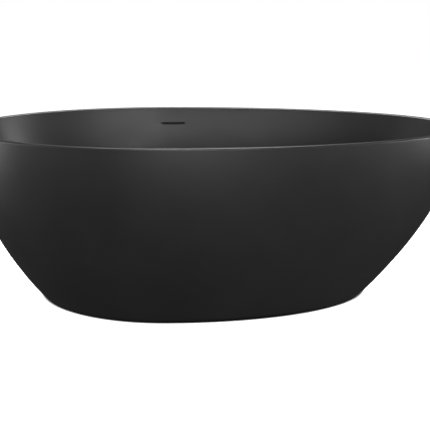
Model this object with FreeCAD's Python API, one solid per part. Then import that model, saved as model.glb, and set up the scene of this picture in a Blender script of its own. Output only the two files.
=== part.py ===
import FreeCAD, Part
import math
import os

# Freestanding egg-shaped bathtub: a basin and an outer skirt joined at a thin rim, on a steel
# frame with five levelling feet, with a press-to-close waste and a slot overflow.
#
# Millimetres.  +Z is up, +X runs along the tub towards its long end, +Y points to the overflow
# side.  The origin is on the floor, under the middle of the tub's overall length and width.

# ---------------------------------------------------------------- driving dimensions: shells
LENGTH = 1700.0             # over the rim
WIDTH = 800.0
HEIGHT = 600.0              # floor to the top of the rim
WIDEST_X = -160.0           # the rim is widest here: a short half-ellipse and a long one meet
WASTE_X = -155.0            # waste and overflow share this line

SHELL = 6.0                 # acrylic thickness, measured level
RIM_WIDTH = 20.0
RIM_INNER_ROUND = 6.0
RIM_OUTER_ROUND = 5.0
LIP_DEPTH = 10.0            # the basin's edge turns down this far and meets the skirt

SKIRT_GAP = 4.0             # floor to the skirt's lower edge
BASE_LEFT = 460.0           # half-sizes of the skirt's outline at the floor, from WIDEST_X
BASE_RIGHT = 710.0
BASE_HALF = 320.0
BASE_ROUND = 12.0
FLANGE_WIDTH = 30.0         # the skirt's lower edge turns in this far
BELLY_Z = 200.0             # heights of the two shaping rows of the skirt
SHOULDER_Z = 400.0
BELLY_LEFT = 0.74           # how far the belly row has gone from the base to the rim
BELLY_RIGHT = 0.61
BELLY_HALF = 0.65

FLOOR_EDGE_Z = 152.0        # basin floor: height at its edge and at the waste
WASTE_Z = 147.0
FLOOR_LEFT = 380.0          # half-sizes of the flat part of the basin floor, from WIDEST_X
FLOOR_RIGHT = 560.0
FLOOR_HALF = 200.0
UPPER_DROP = 130.0          # upper shaping row of the basin wall: below the rim's top
UPPER_INSET_LEFT = 52.0     # and in from the rim's outline
UPPER_INSET_RIGHT = 80.0
UPPER_INSET_HALF = 54.0
LOWER_Z = 245.0             # lower shaping row of the basin wall
LOWER_LEFT = 565.0
LOWER_RIGHT = 800.0
LOWER_HALF = 312.0
COVE_REACH = 0.25           # how far the floor's slope carries on into the cove

BOND_DEPTH = 12.0           # adhesive bead under the rim

# ---------------------------------------------------------------- driving dimensions: frame
TUBE = 25.0                 # square steel tube
TUBE_WALL = 1.5
FRAME_Z = 71.0              # underside of the cross tubes
RAIL_Y = 120.0
RAIL_START = -470.0
RAIL_END = 370.0
CROSS_X = {"left": -430.0, "middle": 20.0, "right": 330.0}
CROSS_HALF = 232.0          # half length of a cross tube
CAP_LIP = 2.0
CAP_INSERT = 12.0
BOARD_MARGIN = 15.0         # base board inside the basin floor's edge
BOARD_HOLE = 62.0           # radius of its opening round the waste
BLOCK_WIDTH = 50.0          # wooden blocks that hold the skirt
BLOCK_HEIGHT = 34.0
BLOCK_START = 180.0         # distance of a block's inner end from the centre line
SCREW_RADIUS = 2.25
SCREW_HEAD_RADIUS = 5.0
SCREW_HEAD = 3.0
SCREW_HEAD_BEVEL = 1.0
SCREW_BITE = 16.0           # length of a block screw in its wooden block
BOARD_COVER = 4.0           # board left between a board screw's tip and the basin
BOARD_BITE = WASTE_Z - SHELL - BOARD_COVER - (FRAME_Z + 2 * TUBE)
BLOCK_SCREW_Y = (190.0, 212.0)
BOARD_SCREW_X = (-360.0, 200.0)

# ---------------------------------------------------------------- driving dimensions: feet
FOOT_Y = 160.0
THREAD_RADIUS = 6.0         # M12 x 1.75
RUNNING_CLEARANCE = 0.1
STUD_HOLE_CLEARANCE = 1.0   # round a stud where it passes through a cross tube
STUD_TOP = 104.0
NUT_FLATS = 19.0
WELD_NUT = 10.0
JAM_NUT = 6.0
PAD_RADIUS = 24.0
SOLE = 3.0                  # rubber under the pad
SOLE_BEVEL = 1.0
PAD_PLATE = 4.0
PAD_BEVEL = 2.0
PAD_HUB_RADIUS = 12.0
PAD_HUB_TOP = 19.0
BALL_OVERHANG = 2.0         # ball larger than the stud, all round
BALL_RADIUS = THREAD_RADIUS + BALL_OVERHANG
BALL_Z = 13.0
BALL_CLEARANCE = 0.3
WRENCH_FLATS = 2 * (THREAD_RADIUS + 1)
WRENCH_Z = (24.0, 32.0)

# ---------------------------------------------------------------- driving dimensions: waste
SEAT_CLEARANCE = 0.05       # between screwed or slipped fits inside the waste
BARREL_RADIUS = 22.5        # threaded barrel of the waste flange
BARREL_WALL = 2.5
BARREL_BORE = BARREL_RADIUS - BARREL_WALL
BARREL_BOTTOM = 96.0
BARREL_CLEARANCE = 2.0      # round the barrel, in the basin floor
WASTE_HOLE = BARREL_RADIUS + BARREL_CLEARANCE
FLANGE_OVERHANG = 12.5      # flange beyond the barrel, all round
FLANGE_RADIUS = BARREL_RADIUS + FLANGE_OVERHANG
FLANGE_PLATE = 3.0
FLANGE_CLEARANCE = 1.0
RECESS_RADIUS = FLANGE_RADIUS + FLANGE_CLEARANCE    # seat pressed into the basin floor
RECESS_DEPTH = 4.0
SHOULDER_WIDTH = 10.0       # ledge round the recess, on the underside
RECESS_SHOULDER = RECESS_RADIUS + SHOULDER_WIDTH
GASKET = 3.0
GASKET_RADIUS = RECESS_RADIUS
SHOE_FLANGE = 6.0
SHOE_WALL = 4.5
SHOE_RADIUS = BARREL_RADIUS + SHOE_WALL
SHOE_BOTTOM = 62.0
SHOE_FLOOR = 4.0
PIPE_RADIUS = 20.0          # 40 mm waste pipe
PIPE_WALL = 2.5
PIPE_BORE = PIPE_RADIUS - PIPE_WALL
PIPE_STEP = 0.5             # turned off its upper end, inside the nut and the neck
PIPE_INSERT_RADIUS = PIPE_RADIUS - PIPE_STEP
PIPE_BOTTOM = 14.0
NECK_WALL = 4.0
NECK_RADIUS = PIPE_RADIUS + NECK_WALL
NECK_BOTTOM = 48.0
SLIP_NUT_WALL = 5.0
SLIP_NUT_RADIUS = NECK_RADIUS + SLIP_NUT_WALL
SLIP_NUT = 18.0
WASHER = 4.0
INLET_Z = 76.0
SPIGOT_RADIUS = 9.0
SPIGOT_WALL = 2.0
SPIGOT_BORE = SPIGOT_RADIUS - SPIGOT_WALL
SPIGOT_LENGTH = 26.0

PLUG_LIFT = 9.0             # open plug above the closed one
PLUG_SETBACK = 4.0          # cap smaller than the flange, all round
PLUG_RADIUS = FLANGE_RADIUS - PLUG_SETBACK
PLUG_RIM = 3.0
PLUG_CROWN = 2.5
PLUG_SEAL = 2.0
PLUG_SEAL_RADII = (PLUG_RADIUS - 2, PLUG_RADIUS - 8)
PLUG_SEAT_GAP = 0.4         # the closed seal stays this far above the flange
STEM_RADIUS = 3.0
HUB_RADIUS = 8.0
HUB_Z = (112.0, 124.0)
SPIDER_ARM = 3.0
CARTRIDGE_RADIUS = 6.0
CARTRIDGE_WALL = 1.2
CARTRIDGE_Z = (100.0, 134.0)
PISTON_HEIGHT = 4.0
PISTON_CLEARANCE = 0.1
SPRING_WIRE = 0.45          # radius of the wire
SPRING_TURNS = 7

# ---------------------------------------------------------------- driving dimensions: overflow
SLOT_LENGTH = 90.0
SLOT_HEIGHT = 7.0
SLOT_DROP = 60.0            # rim to the middle of the slot
SLOT_Z = HEIGHT - SLOT_DROP
BOX_HALF = 56.0             # tray behind the slot: half length, and reach below and above it
BOX_BELOW = 32.0
BOX_ABOVE = 20.0
BOX_Z = (SLOT_Z - BOX_BELOW, SLOT_Z + BOX_ABOVE)
BOX_FRAME = 6.0             # width of the face that seals on the basin
BOX_WALL = 2.0
BOX_GASKET = 2.0
BOX_SKIRT_GAP = 5.0
BOX_BACK = WIDTH / 2 - SHELL - BOX_SKIRT_GAP
BOX_START = WIDTH / 4       # well inside the basin, whose form trims the tray and gasket
SPOUT_LENGTH = 28.0
HOSE_WALL = 2.0
HOSE_RADIUS = SPIGOT_RADIUS + HOSE_WALL
HOSE_INSERT = 22.0          # length of hose pushed over a spigot
HOSE_TOP = BOX_Z[0] - SPOUT_LENGTH + HOSE_INSERT
HOSE_LOW_Y = 300.0          # where the hose turns in under the frame
HOSE_DROP = 53.0            # tray to the corner of the upper bend
HOSE_BENDS = (20.0, 73.5)   # lengths of the tangents of the upper and the lower bend
CLAMP_WIDTH = 9.0
CLAMP_BAND = 0.8
CLAMP_BOX = (8.0, 7.0, 12.0)
CLAMP_HEAD = 3.2

ARC_WEIGHT = math.sqrt(0.5)  # weight of the middle pole of a quarter arc


# ---------------------------------------------------------------- egg-shaped sections
# A section is (z, x, left, right, half): a level outline of two half-ellipses that share their
# short axis at x, reaching left and right along X and half along Y.

def section(z, left, right, half, x=WIDEST_X):
    return (z, x, left, right, half)


def disc(z, radius):
    """A circular section on the waste's axis."""
    return (z, WASTE_X, radius, radius, radius)


def grow(row, by, rise=0.0):
    """The same section, larger all round and higher."""
    z, x, left, right, half = row
    return (z + rise, x, left + by, right + by, half + by)


def mix(a, b, t):
    return tuple(p + (q - p) * t for p, q in zip(a, b))


def at_height(a, b, z):
    """The section at height z on the straight line through two sections."""
    return mix(a, b, (z - a[0]) / (b[0] - a[0]))


def upper_part(rows, t):
    """Rows of the part of a cubic that lies above parameter t."""
    points = list(rows)
    kept = []
    while points:
        kept.append(points[-1])
        points = [mix(a, b, t) for a, b in zip(points, points[1:])]
    return kept[::-1]


def quarter_face(rows, side_x, side_y):
    """One quarter of the surface whose profile is a straight line, an arc or a cubic spline."""
    count = len(rows)
    degree = min(count - 1, 3)
    spans = count - degree
    knots = [float(i) for i in range(spans + 1)]
    mults = [degree + 1] + [1] * (spans - 1) + [degree + 1]
    poles = []
    weights = []
    for i, (z, x, left, right, half) in enumerate(rows):
        reach = right if side_x > 0 else left
        edge = FreeCAD.Vector(x + side_x * reach, 0, z)
        corner = FreeCAD.Vector(x + side_x * reach, side_y * half, z)
        crest = FreeCAD.Vector(x, side_y * half, z)
        weight = ARC_WEIGHT if count == 3 and i == 1 else 1.0
        poles.append([edge, corner, crest])
        weights.append([weight, weight * ARC_WEIGHT, weight])
    surface = Part.BSplineSurface()
    surface.buildFromPolesMultsKnots(
        poles, mults, [3, 3], knots, [0.0, 1.0], False, False, degree, 2, weights)
    return surface.toShape()


def strip(rows):
    """The surface all round that follows one stretch of a profile."""
    return [quarter_face(rows, sx, sy) for sx in (-1, 1) for sy in (-1, 1)]


def cap(row):
    """A level face that fills a section."""
    z, x, left, right, half = row
    edges = []
    for side_x, side_y in ((1, 1), (-1, 1), (-1, -1), (1, -1)):
        end = x + side_x * (right if side_x > 0 else left)
        curve = Part.BezierCurve()
        curve.setPoles([FreeCAD.Vector(end, 0, z),
                        FreeCAD.Vector(end, side_y * half, z),
                        FreeCAD.Vector(x, side_y * half, z)])
        curve.setWeight(2, ARC_WEIGHT)
        edges.append(curve.toShape())
    return Part.Face(Part.Wire(Part.__sortEdges__(edges)))


def solid_from(faces):
    shell = Part.Shell(faces)
    shell.sewShape()
    solid = Part.Solid(shell)
    if solid.Volume < 0:
        solid.reverse()
    return solid


def ring(strips):
    """A closed hoop whose section is bounded by the strips, taken in order."""
    faces = []
    for rows in strips:
        faces += strip(rows)
    return solid_from(faces)


def plug_form(rows):
    """A full body bounded by one profile and closed by level faces at its ends."""
    return solid_from(strip(rows) + [cap(rows[0]), cap(rows[-1])])


# ---------------------------------------------------------------- plain shapes

def box(x0, x1, y0, y1, z0, z1):
    return Part.makeBox(x1 - x0, y1 - y0, z1 - z0, FreeCAD.Vector(x0, y0, z0))


def post(x, y, z0, z1, radius):
    """An upright cylinder."""
    return Part.makeCylinder(radius, z1 - z0, FreeCAD.Vector(x, y, z0))


def sleeve(x, y, z0, z1, outer, bore):
    """An upright tube."""
    return post(x, y, z0, z1, outer).cut(post(x, y, z0, z1, bore))


def hexagon(x, y, z0, z1, flats):
    """An upright six-sided bar."""
    radius = flats / math.sqrt(3)
    corners = []
    for i in range(7):
        angle = math.radians(60 * i)
        corners.append(FreeCAD.Vector(x + radius * math.cos(angle), y + radius * math.sin(angle), z0))
    face = Part.Face(Part.makePolygon(corners))
    return face.extrude(FreeCAD.Vector(0, 0, z1 - z0))


def turned(x, y, profile):
    """A round piece about an upright axis; the profile is (radius, z) points."""
    points = [FreeCAD.Vector(x + radius, y, z) for radius, z in profile]
    face = Part.Face(Part.makePolygon(points + points[:1]))
    return face.revolve(FreeCAD.Vector(x, y, 0), FreeCAD.Vector(0, 0, 1), 360)


def save(name, *solids):
    shape = solids[0] if len(solids) == 1 else Part.makeCompound(list(solids))
    shape.exportStep("parts/" + name + ".step")


# ---------------------------------------------------------------- shells

RIM = section(HEIGHT, WIDEST_X + LENGTH / 2, LENGTH / 2 - WIDEST_X, WIDTH / 2)
BASE = section(SKIRT_GAP, BASE_LEFT, BASE_RIGHT, BASE_HALF)
LIP_Z = HEIGHT - LIP_DEPTH


def belly_row():
    """The skirt's shaping row, part of the way from the base outline to the rim."""
    return section(BELLY_Z,
                   BASE_LEFT + BELLY_LEFT * (RIM[2] - BASE_LEFT),
                   BASE_RIGHT + BELLY_RIGHT * (RIM[3] - BASE_RIGHT),
                   BASE_HALF + BELLY_HALF * (RIM[4] - BASE_HALF))


def skirt_rows():
    """The outside of the skirt from the floor gap to the lip, as one cubic."""
    shoulder = grow(RIM, 0, SHOULDER_Z - HEIGHT)
    top = grow(RIM, 0, LIP_Z - HEIGHT)
    return [BASE, belly_row(), shoulder, top]


def basin_rows():
    """The inside of the basin from just under the rim to the floor's edge, as one spline."""
    rim_edge = grow(RIM, -RIM_WIDTH)
    upper = section(HEIGHT - UPPER_DROP, RIM[2] - UPPER_INSET_LEFT,
                    RIM[3] - UPPER_INSET_RIGHT, RIM[4] - UPPER_INSET_HALF)
    lower = section(LOWER_Z, LOWER_LEFT, LOWER_RIGHT, LOWER_HALF)
    edge = section(FLOOR_EDGE_Z, FLOOR_LEFT, FLOOR_RIGHT, FLOOR_HALF)
    cove = mix(edge, disc(WASTE_Z, RECESS_SHOULDER), -COVE_REACH)
    start = at_height(rim_edge, upper, HEIGHT - RIM_INNER_ROUND)
    return [start, upper, lower, cove, edge]


def make_skirt():
    wall = upper_part(skirt_rows(), BASE_ROUND / (3 * (BELLY_Z - SKIRT_GAP)))
    inner = [grow(row, -SHELL) for row in wall]
    corner = at_height(wall[0], wall[1], SKIRT_GAP)
    inner_corner = at_height(inner[0], inner[1], SKIRT_GAP + SHELL)
    sole = grow(corner, -BASE_ROUND)
    flange = grow(corner, -FLANGE_WIDTH)
    flange_top = grow(flange, 0, SHELL)
    inner_sole = grow(inner_corner, -(BASE_ROUND - SHELL))
    return ring([
        wall,
        [wall[-1], inner[-1]],
        inner[::-1],
        [inner[0], inner_corner, inner_sole],
        [inner_sole, flange_top],
        [flange_top, flange],
        [flange, sole],
        [sole, corner, wall[0]],
    ])


def skirt_room():
    """The space inside the skirt, up to the rim."""
    rows = [grow(row, -SHELL) for row in skirt_rows()]
    rows[-1] = grow(rows[-1], 0, LIP_DEPTH)
    return plug_form(rows)


def basin_form():
    """The basin's underside as a full body, up to the underside of the rim."""
    wall = basin_rows()
    rows = [grow(wall[0], SHELL)] + [grow(row, SHELL, -SHELL) for row in wall[1:]]
    floor = disc(WASTE_Z - SHELL, RECESS_SHOULDER)
    return solid_from(strip(rows) + strip([rows[-1], floor]) + [cap(rows[0]), cap(floor)])


def make_basin():
    wall = basin_rows()
    under = [grow(wall[0], SHELL)] + [grow(row, SHELL, -SHELL) for row in wall[1:]]
    rim_corner = at_height(wall[1], wall[0], HEIGHT)
    flat_in = grow(rim_corner, RIM_INNER_ROUND)
    flat_out = grow(RIM, -RIM_OUTER_ROUND)
    lip_top = grow(RIM, 0, -RIM_OUTER_ROUND)
    lip_out = grow(RIM, 0, -LIP_DEPTH)
    lip_in = grow(lip_out, -SHELL)
    under_rim = grow(lip_in, 0, LIP_DEPTH - RIM_INNER_ROUND)
    recess = WASTE_Z - RECESS_DEPTH
    profile = [
        wall,
        [wall[-1], disc(WASTE_Z, RECESS_RADIUS)],
        [disc(WASTE_Z, RECESS_RADIUS), disc(recess, RECESS_RADIUS)],
        [disc(recess, RECESS_RADIUS), disc(recess, WASTE_HOLE)],
        [disc(recess, WASTE_HOLE), disc(recess - SHELL, WASTE_HOLE)],
        [disc(recess - SHELL, WASTE_HOLE), disc(recess - SHELL, RECESS_SHOULDER)],
        [disc(recess - SHELL, RECESS_SHOULDER), disc(WASTE_Z - SHELL, RECESS_SHOULDER)],
        [disc(WASTE_Z - SHELL, RECESS_SHOULDER), under[-1]],
        under[::-1],
        [under[0], under_rim],
        [under_rim, lip_in],
        [lip_in, lip_out],
        [lip_out, lip_top],
        [lip_top, RIM, flat_out],
        [flat_out, flat_in],
        [flat_in, rim_corner, wall[0]],
    ]
    return ring(profile).cut(overflow_slot())


def overflow_slot():
    """A level bar with round ends, from the middle of the tub out through the back wall."""
    reach = SLOT_LENGTH / 2 - SLOT_HEIGHT / 2
    bar = box(WASTE_X - reach, WASTE_X + reach, 0, WIDTH / 2,
              SLOT_Z - SLOT_HEIGHT / 2, SLOT_Z + SLOT_HEIGHT / 2)
    for side in (-1, 1):
        start = FreeCAD.Vector(WASTE_X + side * reach, 0, SLOT_Z)
        bar = bar.fuse(Part.makeCylinder(SLOT_HEIGHT / 2, WIDTH / 2, start, FreeCAD.Vector(0, 1, 0)))
    return bar.removeSplitter()


def make_rim_bond(room, form):
    """The adhesive bead that fills the corner between basin, rim and skirt."""
    top = HEIGHT - RIM_INNER_ROUND
    slab = box(-LENGTH, LENGTH, -WIDTH, WIDTH, top - BOND_DEPTH, top)
    return room.common(slab).cut(form)


def make_base_board(form):
    """The board bonded under the basin floor, open round the waste."""
    edge = section(FRAME_Z + 2 * TUBE, FLOOR_LEFT, FLOOR_RIGHT, FLOOR_HALF)
    lower = grow(edge, -BOARD_MARGIN)
    board = plug_form([lower, grow(lower, 0, FLOOR_EDGE_Z - lower[0])])
    board = board.cut(form)
    board = board.cut(post(WASTE_X, 0, FRAME_Z, HEIGHT, BOARD_HOLE))
    for x, y in board_screw_places():
        board = board.cut(post(x, y, lower[0] - BOARD_BITE, lower[0] + BOARD_BITE, SCREW_RADIUS))
    return board


# ---------------------------------------------------------------- frame

def foot_places():
    """Number, x and y of each levelling foot."""
    places = []
    for side in ("left", "right"):
        for y in (-FOOT_Y, FOOT_Y):
            places.append((len(places) + 1, CROSS_X[side], y))
    places.append((len(places) + 1, CROSS_X["middle"], 0.0))
    return places


def board_screw_places():
    return [(x, side * RAIL_Y) for x in BOARD_SCREW_X for side in (-1, 1)]


def block_screw_places():
    return [(x, side * y) for x in CROSS_X.values() for side in (-1, 1) for y in BLOCK_SCREW_Y]


def make_rail(side):
    """A tube along the tub, above the cross tubes."""
    y = side * RAIL_Y
    z = FRAME_Z + TUBE
    half = TUBE / 2
    tube = box(RAIL_START, RAIL_END, y - half, y + half, z, z + TUBE)
    hollow = half - TUBE_WALL
    tube = tube.cut(box(RAIL_START, RAIL_END, y - hollow, y + hollow,
                        z + TUBE_WALL, z + TUBE - TUBE_WALL))
    for x, screw_y in board_screw_places():
        if screw_y == y:
            tube = tube.cut(post(x, y, z, z + TUBE, SCREW_RADIUS + RUNNING_CLEARANCE))
    return tube


def make_cross_tube(x):
    half = TUBE / 2
    hollow = half - TUBE_WALL
    tube = box(x - half, x + half, -CROSS_HALF, CROSS_HALF, FRAME_Z, FRAME_Z + TUBE)
    tube = tube.cut(box(x - hollow, x + hollow, -CROSS_HALF, CROSS_HALF,
                        FRAME_Z + TUBE_WALL, FRAME_Z + TUBE - TUBE_WALL))
    for number, foot_x, foot_y in foot_places():
        if foot_x == x:
            tube = tube.cut(post(x, foot_y, FRAME_Z, FRAME_Z + TUBE,
                                 THREAD_RADIUS + STUD_HOLE_CLEARANCE))
    for screw_x, screw_y in block_screw_places():
        if screw_x == x:
            tube = tube.cut(post(x, screw_y, FRAME_Z, FRAME_Z + TUBE,
                                 SCREW_RADIUS + RUNNING_CLEARANCE))
    return tube


def tube_cap(x, y, z, along):
    """A plastic plug in the end of a tube that points along a unit vector."""
    cap_solid = box(-CAP_INSERT, 0, -TUBE / 2 + TUBE_WALL, TUBE / 2 - TUBE_WALL,
                    -TUBE / 2 + TUBE_WALL, TUBE / 2 - TUBE_WALL)
    core = TUBE / 2 - 2 * TUBE_WALL
    cap_solid = cap_solid.cut(box(-CAP_INSERT, -TUBE_WALL, -core, core, -core, core))
    cap_solid = cap_solid.fuse(box(0, CAP_LIP, -TUBE / 2, TUBE / 2, -TUBE / 2, TUBE / 2))
    cap_solid.rotate(FreeCAD.Vector(0, 0, 0), FreeCAD.Vector(0, 0, 1),
                     math.degrees(math.atan2(along[1], along[0])))
    cap_solid.translate(FreeCAD.Vector(x, y, z))
    return cap_solid


def tube_caps():
    caps = []
    for side in (-1, 1):
        z = FRAME_Z + TUBE * 1.5
        caps.append(tube_cap(RAIL_START, side * RAIL_Y, z, (-1, 0)))
        caps.append(tube_cap(RAIL_END, side * RAIL_Y, z, (1, 0)))
        for x in CROSS_X.values():
            caps.append(tube_cap(x, side * CROSS_HALF, FRAME_Z + TUBE / 2, (0, side)))
    return caps


def make_skirt_block(x, side, room):
    """A wooden block on a cross tube, shaped to the skirt that it is bonded to."""
    z = FRAME_Z + TUBE
    ends = sorted((side * BLOCK_START, side * WIDTH / 2))
    block = box(x - BLOCK_WIDTH / 2, x + BLOCK_WIDTH / 2, ends[0], ends[1], z, z + BLOCK_HEIGHT)
    block = block.common(room)
    for y in BLOCK_SCREW_Y:
        block = block.cut(post(x, side * y, z, z + SCREW_BITE, SCREW_RADIUS))
    return block


def screw(x, y, z, bite):
    """A pan-head screw driven up through a tube whose underside is at z, and on by its bite."""
    tip = z + TUBE + bite
    taper = SCREW_RADIUS * 2
    return turned(x, y, [
        (0, z - SCREW_HEAD), (SCREW_HEAD_RADIUS - SCREW_HEAD_BEVEL, z - SCREW_HEAD),
        (SCREW_HEAD_RADIUS, z - SCREW_HEAD_BEVEL), (SCREW_HEAD_RADIUS, z),
        (SCREW_RADIUS, z), (SCREW_RADIUS, tip - taper), (0, tip)])


# ---------------------------------------------------------------- levelling feet

def nut(x, y, z0, z1):
    bore = post(x, y, z0, z1, THREAD_RADIUS)
    return hexagon(x, y, z0, z1, NUT_FLATS).cut(bore)


def ball(x, y, radius):
    return Part.makeSphere(radius, FreeCAD.Vector(x, y, BALL_Z))


def make_foot_pad(x, y):
    """A dished plate with a hub that holds the stud's ball end."""
    plate_top = SOLE + PAD_PLATE
    pad = turned(x, y, [
        (0, SOLE), (PAD_RADIUS, SOLE), (PAD_RADIUS, plate_top - PAD_BEVEL),
        (PAD_RADIUS - PAD_BEVEL, plate_top), (PAD_HUB_RADIUS + PAD_BEVEL, plate_top + PAD_BEVEL),
        (PAD_HUB_RADIUS, PAD_HUB_TOP - PAD_BEVEL), (PAD_HUB_RADIUS - PAD_BEVEL / 2, PAD_HUB_TOP),
        (0, PAD_HUB_TOP)])
    throat = post(x, y, BALL_Z, PAD_HUB_TOP, THREAD_RADIUS + BALL_CLEARANCE)
    return pad.cut(ball(x, y, BALL_RADIUS + BALL_CLEARANCE)).cut(throat)


def make_foot_sole(x, y):
    return turned(x, y, [
        (0, 0), (PAD_RADIUS - SOLE_BEVEL, 0), (PAD_RADIUS, SOLE_BEVEL),
        (PAD_RADIUS, SOLE), (0, SOLE)])


def make_foot_stud(x, y):
    """The threaded stud: a ball in the pad, flats for a wrench, and the shank in the nut."""
    radius = THREAD_RADIUS - RUNNING_CLEARANCE
    stud = post(x, y, BALL_Z, STUD_TOP, radius)
    stud = stud.fuse(ball(x, y, BALL_RADIUS))
    stud = stud.fuse(hexagon(x, y, WRENCH_Z[0], WRENCH_Z[1], WRENCH_FLATS))
    return stud.removeSplitter()


# ---------------------------------------------------------------- waste

SEAT_Z = WASTE_Z - RECESS_DEPTH              # the recess floor
FLANGE_Z = WASTE_Z - FLANGE_PLATE            # underside of the waste flange
SHOE_TOP = SEAT_Z - SHELL - GASKET


def make_waste_flange():
    """The flange, its threaded barrel and the spider that carries the plug's cartridge."""
    edge = FLANGE_PLATE / 2
    body = turned(WASTE_X, 0, [
        (BARREL_BORE, FLANGE_Z), (BARREL_RADIUS, FLANGE_Z), (BARREL_RADIUS, BARREL_BOTTOM),
        (BARREL_BORE, BARREL_BOTTOM)])
    plate = turned(WASTE_X, 0, [
        (BARREL_BORE, FLANGE_Z), (FLANGE_RADIUS, FLANGE_Z), (FLANGE_RADIUS, FLANGE_Z + edge / 2),
        (FLANGE_RADIUS - edge, WASTE_Z), (BARREL_BORE + edge, WASTE_Z),
        (BARREL_BORE, WASTE_Z - edge)])
    body = body.fuse(plate)
    hub = post(WASTE_X, 0, HUB_Z[0], HUB_Z[1], HUB_RADIUS)
    reach = (BARREL_BORE + BARREL_RADIUS) / 2
    half = SPIDER_ARM / 2
    hub = hub.fuse(box(WASTE_X - reach, WASTE_X + reach, -half, half, HUB_Z[0], HUB_Z[1]))
    hub = hub.fuse(box(WASTE_X - half, WASTE_X + half, -reach, reach, HUB_Z[0], HUB_Z[1]))
    bore = post(WASTE_X, 0, HUB_Z[0], HUB_Z[1], CARTRIDGE_RADIUS + SEAT_CLEARANCE)
    return body.fuse(hub).cut(bore).removeSplitter()


def make_waste_shoe():
    """The tee under the basin: socket for the flange, overflow inlet, and outlet neck."""
    socket = BARREL_RADIUS + SEAT_CLEARANCE
    shoe = post(WASTE_X, 0, SHOE_TOP - SHOE_FLANGE, SHOE_TOP, GASKET_RADIUS)
    shoe = shoe.fuse(post(WASTE_X, 0, SHOE_BOTTOM, SHOE_TOP, SHOE_RADIUS))
    shoe = shoe.fuse(post(WASTE_X, 0, NECK_BOTTOM, SHOE_BOTTOM, NECK_RADIUS))
    along = FreeCAD.Vector(0, 1, 0)
    inlet = FreeCAD.Vector(WASTE_X, 0, INLET_Z)
    reach = SHOE_RADIUS + SPIGOT_LENGTH
    shoe = shoe.fuse(Part.makeCylinder(SPIGOT_RADIUS, reach, inlet, along))
    shoe = shoe.cut(post(WASTE_X, 0, SHOE_BOTTOM + SHOE_FLOOR, SHOE_TOP, socket))
    shoe = shoe.cut(post(WASTE_X, 0, NECK_BOTTOM, SHOE_TOP, PIPE_INSERT_RADIUS + SEAT_CLEARANCE))
    shoe = shoe.cut(Part.makeCylinder(SPIGOT_BORE, reach, inlet, along))
    return shoe.removeSplitter()


NUT_BOTTOM = NECK_BOTTOM - 2 * WASHER


def make_tailpiece():
    """The outlet pipe; its turned-down upper end slips into the shoe's neck."""
    pipe = post(WASTE_X, 0, PIPE_BOTTOM, NUT_BOTTOM, PIPE_RADIUS)
    pipe = pipe.fuse(post(WASTE_X, 0, NUT_BOTTOM, SHOE_BOTTOM, PIPE_INSERT_RADIUS))
    return pipe.cut(post(WASTE_X, 0, PIPE_BOTTOM, SHOE_BOTTOM, PIPE_BORE))


def make_outlet_washer():
    return sleeve(WASTE_X, 0, NECK_BOTTOM - WASHER, NECK_BOTTOM, NECK_RADIUS, PIPE_INSERT_RADIUS)


def make_outlet_nut():
    """The slip nut: a skirt round the neck and a lip under the washer."""
    top = NUT_BOTTOM + SLIP_NUT
    lip = NUT_BOTTOM + WASHER
    pipe_hole = PIPE_INSERT_RADIUS + SEAT_CLEARANCE
    neck_hole = NECK_RADIUS + SEAT_CLEARANCE
    return turned(WASTE_X, 0, [
        (pipe_hole, NUT_BOTTOM), (SLIP_NUT_RADIUS, NUT_BOTTOM), (SLIP_NUT_RADIUS, top),
        (neck_hole, top), (neck_hole, lip), (pipe_hole, lip)])


def make_flange_seal():
    return sleeve(WASTE_X, 0, SEAT_Z, FLANGE_Z, FLANGE_RADIUS, BARREL_RADIUS)


def make_shoe_gasket():
    return sleeve(WASTE_X, 0, SHOE_TOP, SHOE_TOP + GASKET, GASKET_RADIUS, WASTE_HOLE)


# ---------------------------------------------------------------- press-to-close plug

PLUG_Z = WASTE_Z + PLUG_SEAT_GAP + PLUG_LIFT         # underside of the open plug's seal
PISTON_TOP = CARTRIDGE_Z[1] - CARTRIDGE_WALL - PISTON_CLEARANCE


def make_plug_cap():
    """The shallow dome that is pressed; its crown is a circular arc."""
    z = PLUG_Z + PLUG_SEAL
    shoulder = z + PLUG_RIM
    crown_radius = (PLUG_RADIUS ** 2 + PLUG_CROWN ** 2) / (2 * PLUG_CROWN)
    drum = post(WASTE_X, 0, z, shoulder + PLUG_CROWN, PLUG_RADIUS)
    centre = FreeCAD.Vector(WASTE_X, 0, shoulder + PLUG_CROWN - crown_radius)
    return drum.common(Part.makeSphere(crown_radius, centre))


def make_plug_seal():
    return sleeve(WASTE_X, 0, PLUG_Z, PLUG_Z + PLUG_SEAL, PLUG_SEAL_RADII[0], PLUG_SEAL_RADII[1])


def make_plug_stem():
    """The rod under the cap, with the piston that runs in the cartridge."""
    piston = CARTRIDGE_RADIUS - CARTRIDGE_WALL - PISTON_CLEARANCE
    rod = post(WASTE_X, 0, PISTON_TOP, PLUG_Z + PLUG_SEAL, STEM_RADIUS)
    return rod.fuse(post(WASTE_X, 0, PISTON_TOP - PISTON_HEIGHT, PISTON_TOP, piston))


def make_plug_cartridge():
    """The cup screwed into the spider; its lid guides the stem."""
    low, high = CARTRIDGE_Z
    hollow = CARTRIDGE_RADIUS - CARTRIDGE_WALL
    cup = post(WASTE_X, 0, low, high, CARTRIDGE_RADIUS)
    cup = cup.cut(post(WASTE_X, 0, low + CARTRIDGE_WALL, high - CARTRIDGE_WALL, hollow))
    return cup.cut(post(WASTE_X, 0, low + CARTRIDGE_WALL, high, STEM_RADIUS + PISTON_CLEARANCE))


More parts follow.
